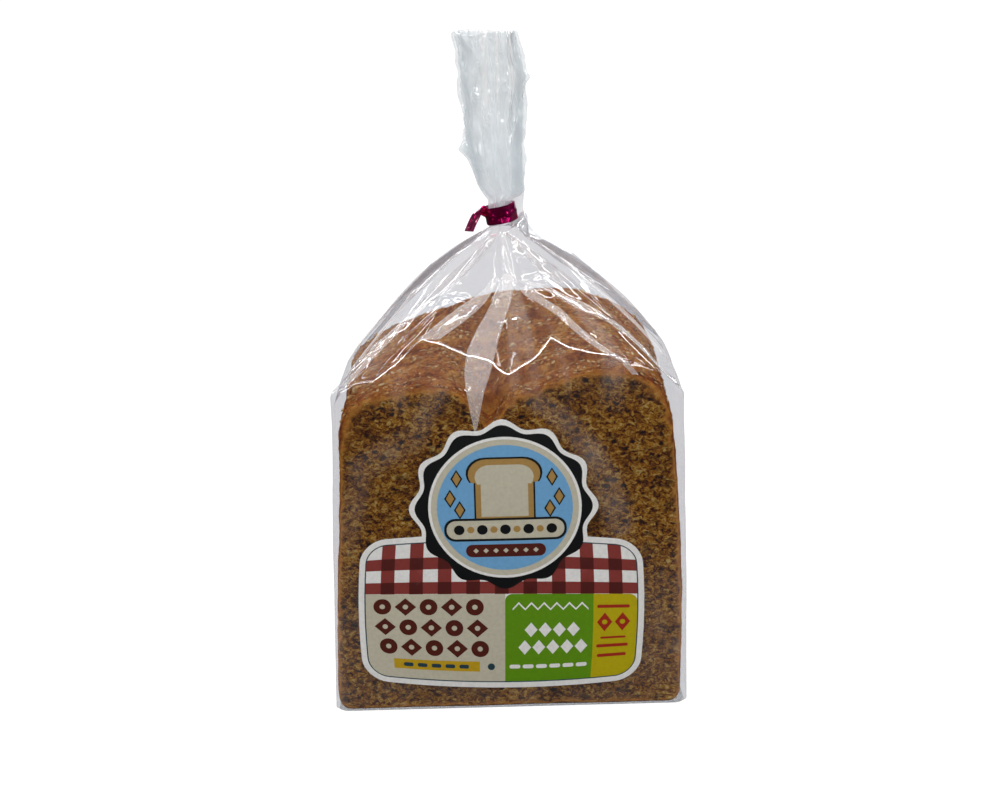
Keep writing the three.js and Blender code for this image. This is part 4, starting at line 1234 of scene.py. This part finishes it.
def printed_label():
    """All outlines are cut into one flat sheet of triangles, each is given the last ink laid over it, and the
    sheet is bent to the film's front and given its thickness."""
    half_w, half_h = PANEL_HALF_WIDTH, PANEL_HALF_HEIGHT
    panel = bowed(rounded_box(-half_w, -half_h, half_w, half_h, PANEL_RADIUS))
    badge = flattened(disc(*BADGE_MIDDLE, BADGE_RADIUS, 144, SCALLOP_DEPTH))
    fields = panel_print() + [
        (flattened(outline), ink, bound and flattened(bound)) for outline, ink, bound in badge_print()
    ]
    points, edges = [], []
    for outline in [panel, badge] + [field[0] for field in fields]:
        first = len(points)
        points += [Vector(p) for p in outline]
        edges += [(first + k, first + (k + 1) % len(outline)) for k in range(len(outline))]
    for x in np.arange(-48, 48, 3.0):
        points += [Vector((x + 1.5 * (k % 2), 8 + 3 * k)) for k in range(31)]
    found = geometry.delaunay_2d_cdt(points, edges, [], 0, 1e-5)
    flat, triangles = np.array([list(p) for p in found[0]]), np.array([list(t) for t in found[2]])
    centres = flat[triangles].mean(1)
    ink = np.full(len(triangles), -1)
    names = list(PRINT)
    ink[inside(centres, panel) | inside(centres, badge)] = names.index("paper white")
    for outline, name, bound in fields:
        covered = inside(centres, outline) & (ink >= 0)
        if bound is not None:
            covered &= inside(centres, bound)
        ink[covered] = names.index(name)
    kept = triangles[ink >= 0]
    used, kept = np.unique(kept, return_inverse=True)
    flat, kept = flat[used], kept.reshape(-1, 3)
    lean_x = flat[:, 0] - LEAN * np.minimum(1, flat[:, 1] / SHOULDER_HEIGHT)
    film_out = FACE_BULGE * bulge(lean_x, SHOULDER_HALF_WIDTH, flat[:, 1])
    y = -HALF_DEPTH - film_out - LABEL_GAP - LABEL_THICKNESS
    piece = piece_of("label_paper", np.stack([flat[:, 0], y, flat[:, 1]], 1), kept)
    for name in names:
        piece.data.materials.append(printed_paper(name.replace(" ", "_"), PRINT[name]))
    piece.data.polygons.foreach_set("material_index", ink[ink >= 0].astype(np.int32))
    bpy.ops.object.mode_set(mode="EDIT")
    bpy.ops.mesh.select_all(action="SELECT")
    bpy.ops.mesh.normals_make_consistent(inside=False)
    bpy.ops.object.mode_set(mode="OBJECT")
    thickness = piece.modifiers.new("paper", "SOLIDIFY")
    thickness.thickness = LABEL_THICKNESS * MM
    thickness.offset = -1 if piece.data.polygons[0].normal.y < 0 else 1
    bpy.ops.object.modifier_apply(modifier="paper")
    bpy.ops.object.shade_smooth_by_angle(angle=math.radians(30))
    return piece


def printed_paper(name, colour):
    """Coated label paper, offset printed: a flat ink with a faint mottle from the paper's fibres, under a
    thin coat with a low gloss."""
    material = finish_named(f"coated_paper_{name}")
    place = add_node(material, "TexCoord").outputs["Object"]
    mottle = add_node(material, "TexNoise", {"Vector": place, "Scale": 900.0, "Detail": 3.0})
    shade = add_node(material, "ValToRGB", {"Fac": mottle}, [(0.3, "#f2f2f2"), (0.7, "#ffffff")])
    mixed = {"Factor": 1.0, "A": colour, "B": shade}
    mixed = add_node(material, "Mix", mixed, data_type="RGBA", blend_type="MULTIPLY")
    coat = {"Roughness": 0.42, "Specular IOR Level": 0.35}
    shader = add_node(material, "BsdfPrincipled", {"Base Color": mixed, **coat})
    add_node(material, "OutputMaterial", {"Surface": shader})
    return material


label = printed_label()
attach(label, "root")
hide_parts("label")

# The studio
# A wide white floor under an overhead softbox. The film is lit by a ring of narrow strip lights, which only
# it and the other glossy pieces show.

FLOOR_SIZE = 14
bpy.ops.object.select_all(action="DESELECT")
bpy.ops.mesh.primitive_plane_add(size=FLOOR_SIZE)
floor = bpy.context.object
floor.name = "studio_floor"
floor.visible_diffuse = floor.visible_glossy = False
floor_paint = finish_named("white_studio_floor")
floor_shade = add_node(floor_paint, "BsdfDiffuse", {"Color": "#5a5a5a"})
floor_glow = add_node(floor_paint, "Emission", {"Color": "#ffffff", "Strength": 1.04})
floor_sum = add_node(floor_paint, "AddShader", {0: floor_shade, 1: floor_glow})
add_node(floor_paint, "OutputMaterial", {"Surface": floor_sum})
floor.data.materials.append(floor_paint)


BAG_MIDDLE = (0, 0, 0.09)


def softbox(name, azimuth, elevation, distance, width, height, radiance, seen_in):
    """An area light round the bag, turned to its middle, seen in matt surfaces or in the gloss of others."""
    a, e = math.radians(azimuth), math.radians(elevation)
    towards = Vector((math.sin(a) * math.cos(e), -math.cos(a) * math.cos(e), math.sin(e)))
    light = bpy.data.lights.new(name, "AREA")
    light.shape, light.size, light.size_y = "RECTANGLE", width, height
    light.energy = radiance * math.pi * width * height
    lamp = bpy.data.objects.new(name, light)
    bpy.context.scene.collection.objects.link(lamp)
    lamp.location = Vector(BAG_MIDDLE) + towards * distance
    lamp.rotation_euler = (-towards).to_track_quat("-Z", "Y").to_euler()
    lamp.visible_diffuse = seen_in != "gloss"
    lamp.visible_glossy = seen_in != "matt"
    lamp.visible_camera = False


softbox("overhead_softbox", 0, 80, 1.4, 1.2, 1.0, 3.0, "matt")
for number, azimuth in enumerate((0, 90, 180, 270)):
    softbox(f"fill_{number}", azimuth, 18, 1.6, 1.2, 0.9, 3.1, "matt")
strips = [(0, 58, 0.9, 0.15)] + [(azimuth, 50, 0.7, 0.1) for azimuth in (-52, 52, -140, 140)]
for number, (azimuth, elevation, width, height) in enumerate(strips):
    softbox(f"strip_{number}", azimuth, elevation, 1.3, width, height, 16.0 if azimuth else 26.0, "gloss")
for number, azimuth in enumerate((-38, 38, 100, 180, -100)):
    softbox(f"upright_strip_{number}", azimuth, 48, 1.3, 0.07, 1.0, 7.0, "gloss")
for number, azimuth in enumerate((-24, 14, 160, -160)):
    softbox(f"low_strip_{number}", azimuth, 22, 1.3, 0.12, 0.5, 10.0, "gloss")

world = bpy.data.worlds.new("studio_air")
bpy.context.scene.world = world
world.use_nodes = True
air = world.node_tree.nodes["Background"]
air.inputs["Color"].default_value = (0.95, 0.97, 1.0, 1.0)
direction = add_node(world, "SeparateXYZ", {0: add_node(world, "TexCoord").outputs["Generated"]})
upwards = {"Value": direction.outputs["Z"], 1: -0.1, 2: 0.9, 3: 0.04, 4: 0.35}
height = add_node(world, "MapRange", upwards)
world.node_tree.links.new(height.outputs[0], air.inputs["Strength"])
bpy.context.scene.view_settings.view_transform = "Standard"
bpy.context.scene.cycles.transparent_max_bounces = 24

# The camera
# It stands 0.64 m before the bag and 0.27 m up, and looks down on it by 15 degrees, as in the photograph.
# The small turn and roll are those of the camera that was fitted to the photograph.

CAMERA_PLACE = (-0.00085, -0.63958, 0.2660)
PITCH, YAW, ROLL = math.radians(15.236), math.radians(-0.057), math.radians(-1.515)
LENS_PIXELS, FRAME_PIXELS, SENSOR = 1938.37, 1000, 36.0
forwards = Vector((math.sin(YAW) * math.cos(PITCH), math.cos(YAW) * math.cos(PITCH), -math.sin(PITCH)))
level_right = Vector((math.cos(YAW), -math.sin(YAW), 0))
level_up = level_right.cross(forwards)
right = math.cos(ROLL) * level_right + math.sin(ROLL) * level_up
up = -math.sin(ROLL) * level_right + math.cos(ROLL) * level_up
camera = bpy.data.objects.new("camera", bpy.data.cameras.new("camera"))
bpy.context.scene.collection.objects.link(camera)
turned = Matrix((right, up, -forwards)).transposed().to_4x4()
camera.matrix_world = Matrix.Translation(CAMERA_PLACE) @ turned
camera.data.sensor_width = SENSOR
camera.data.lens = SENSOR * LENS_PIXELS / FRAME_PIXELS
bpy.context.scene.camera = camera
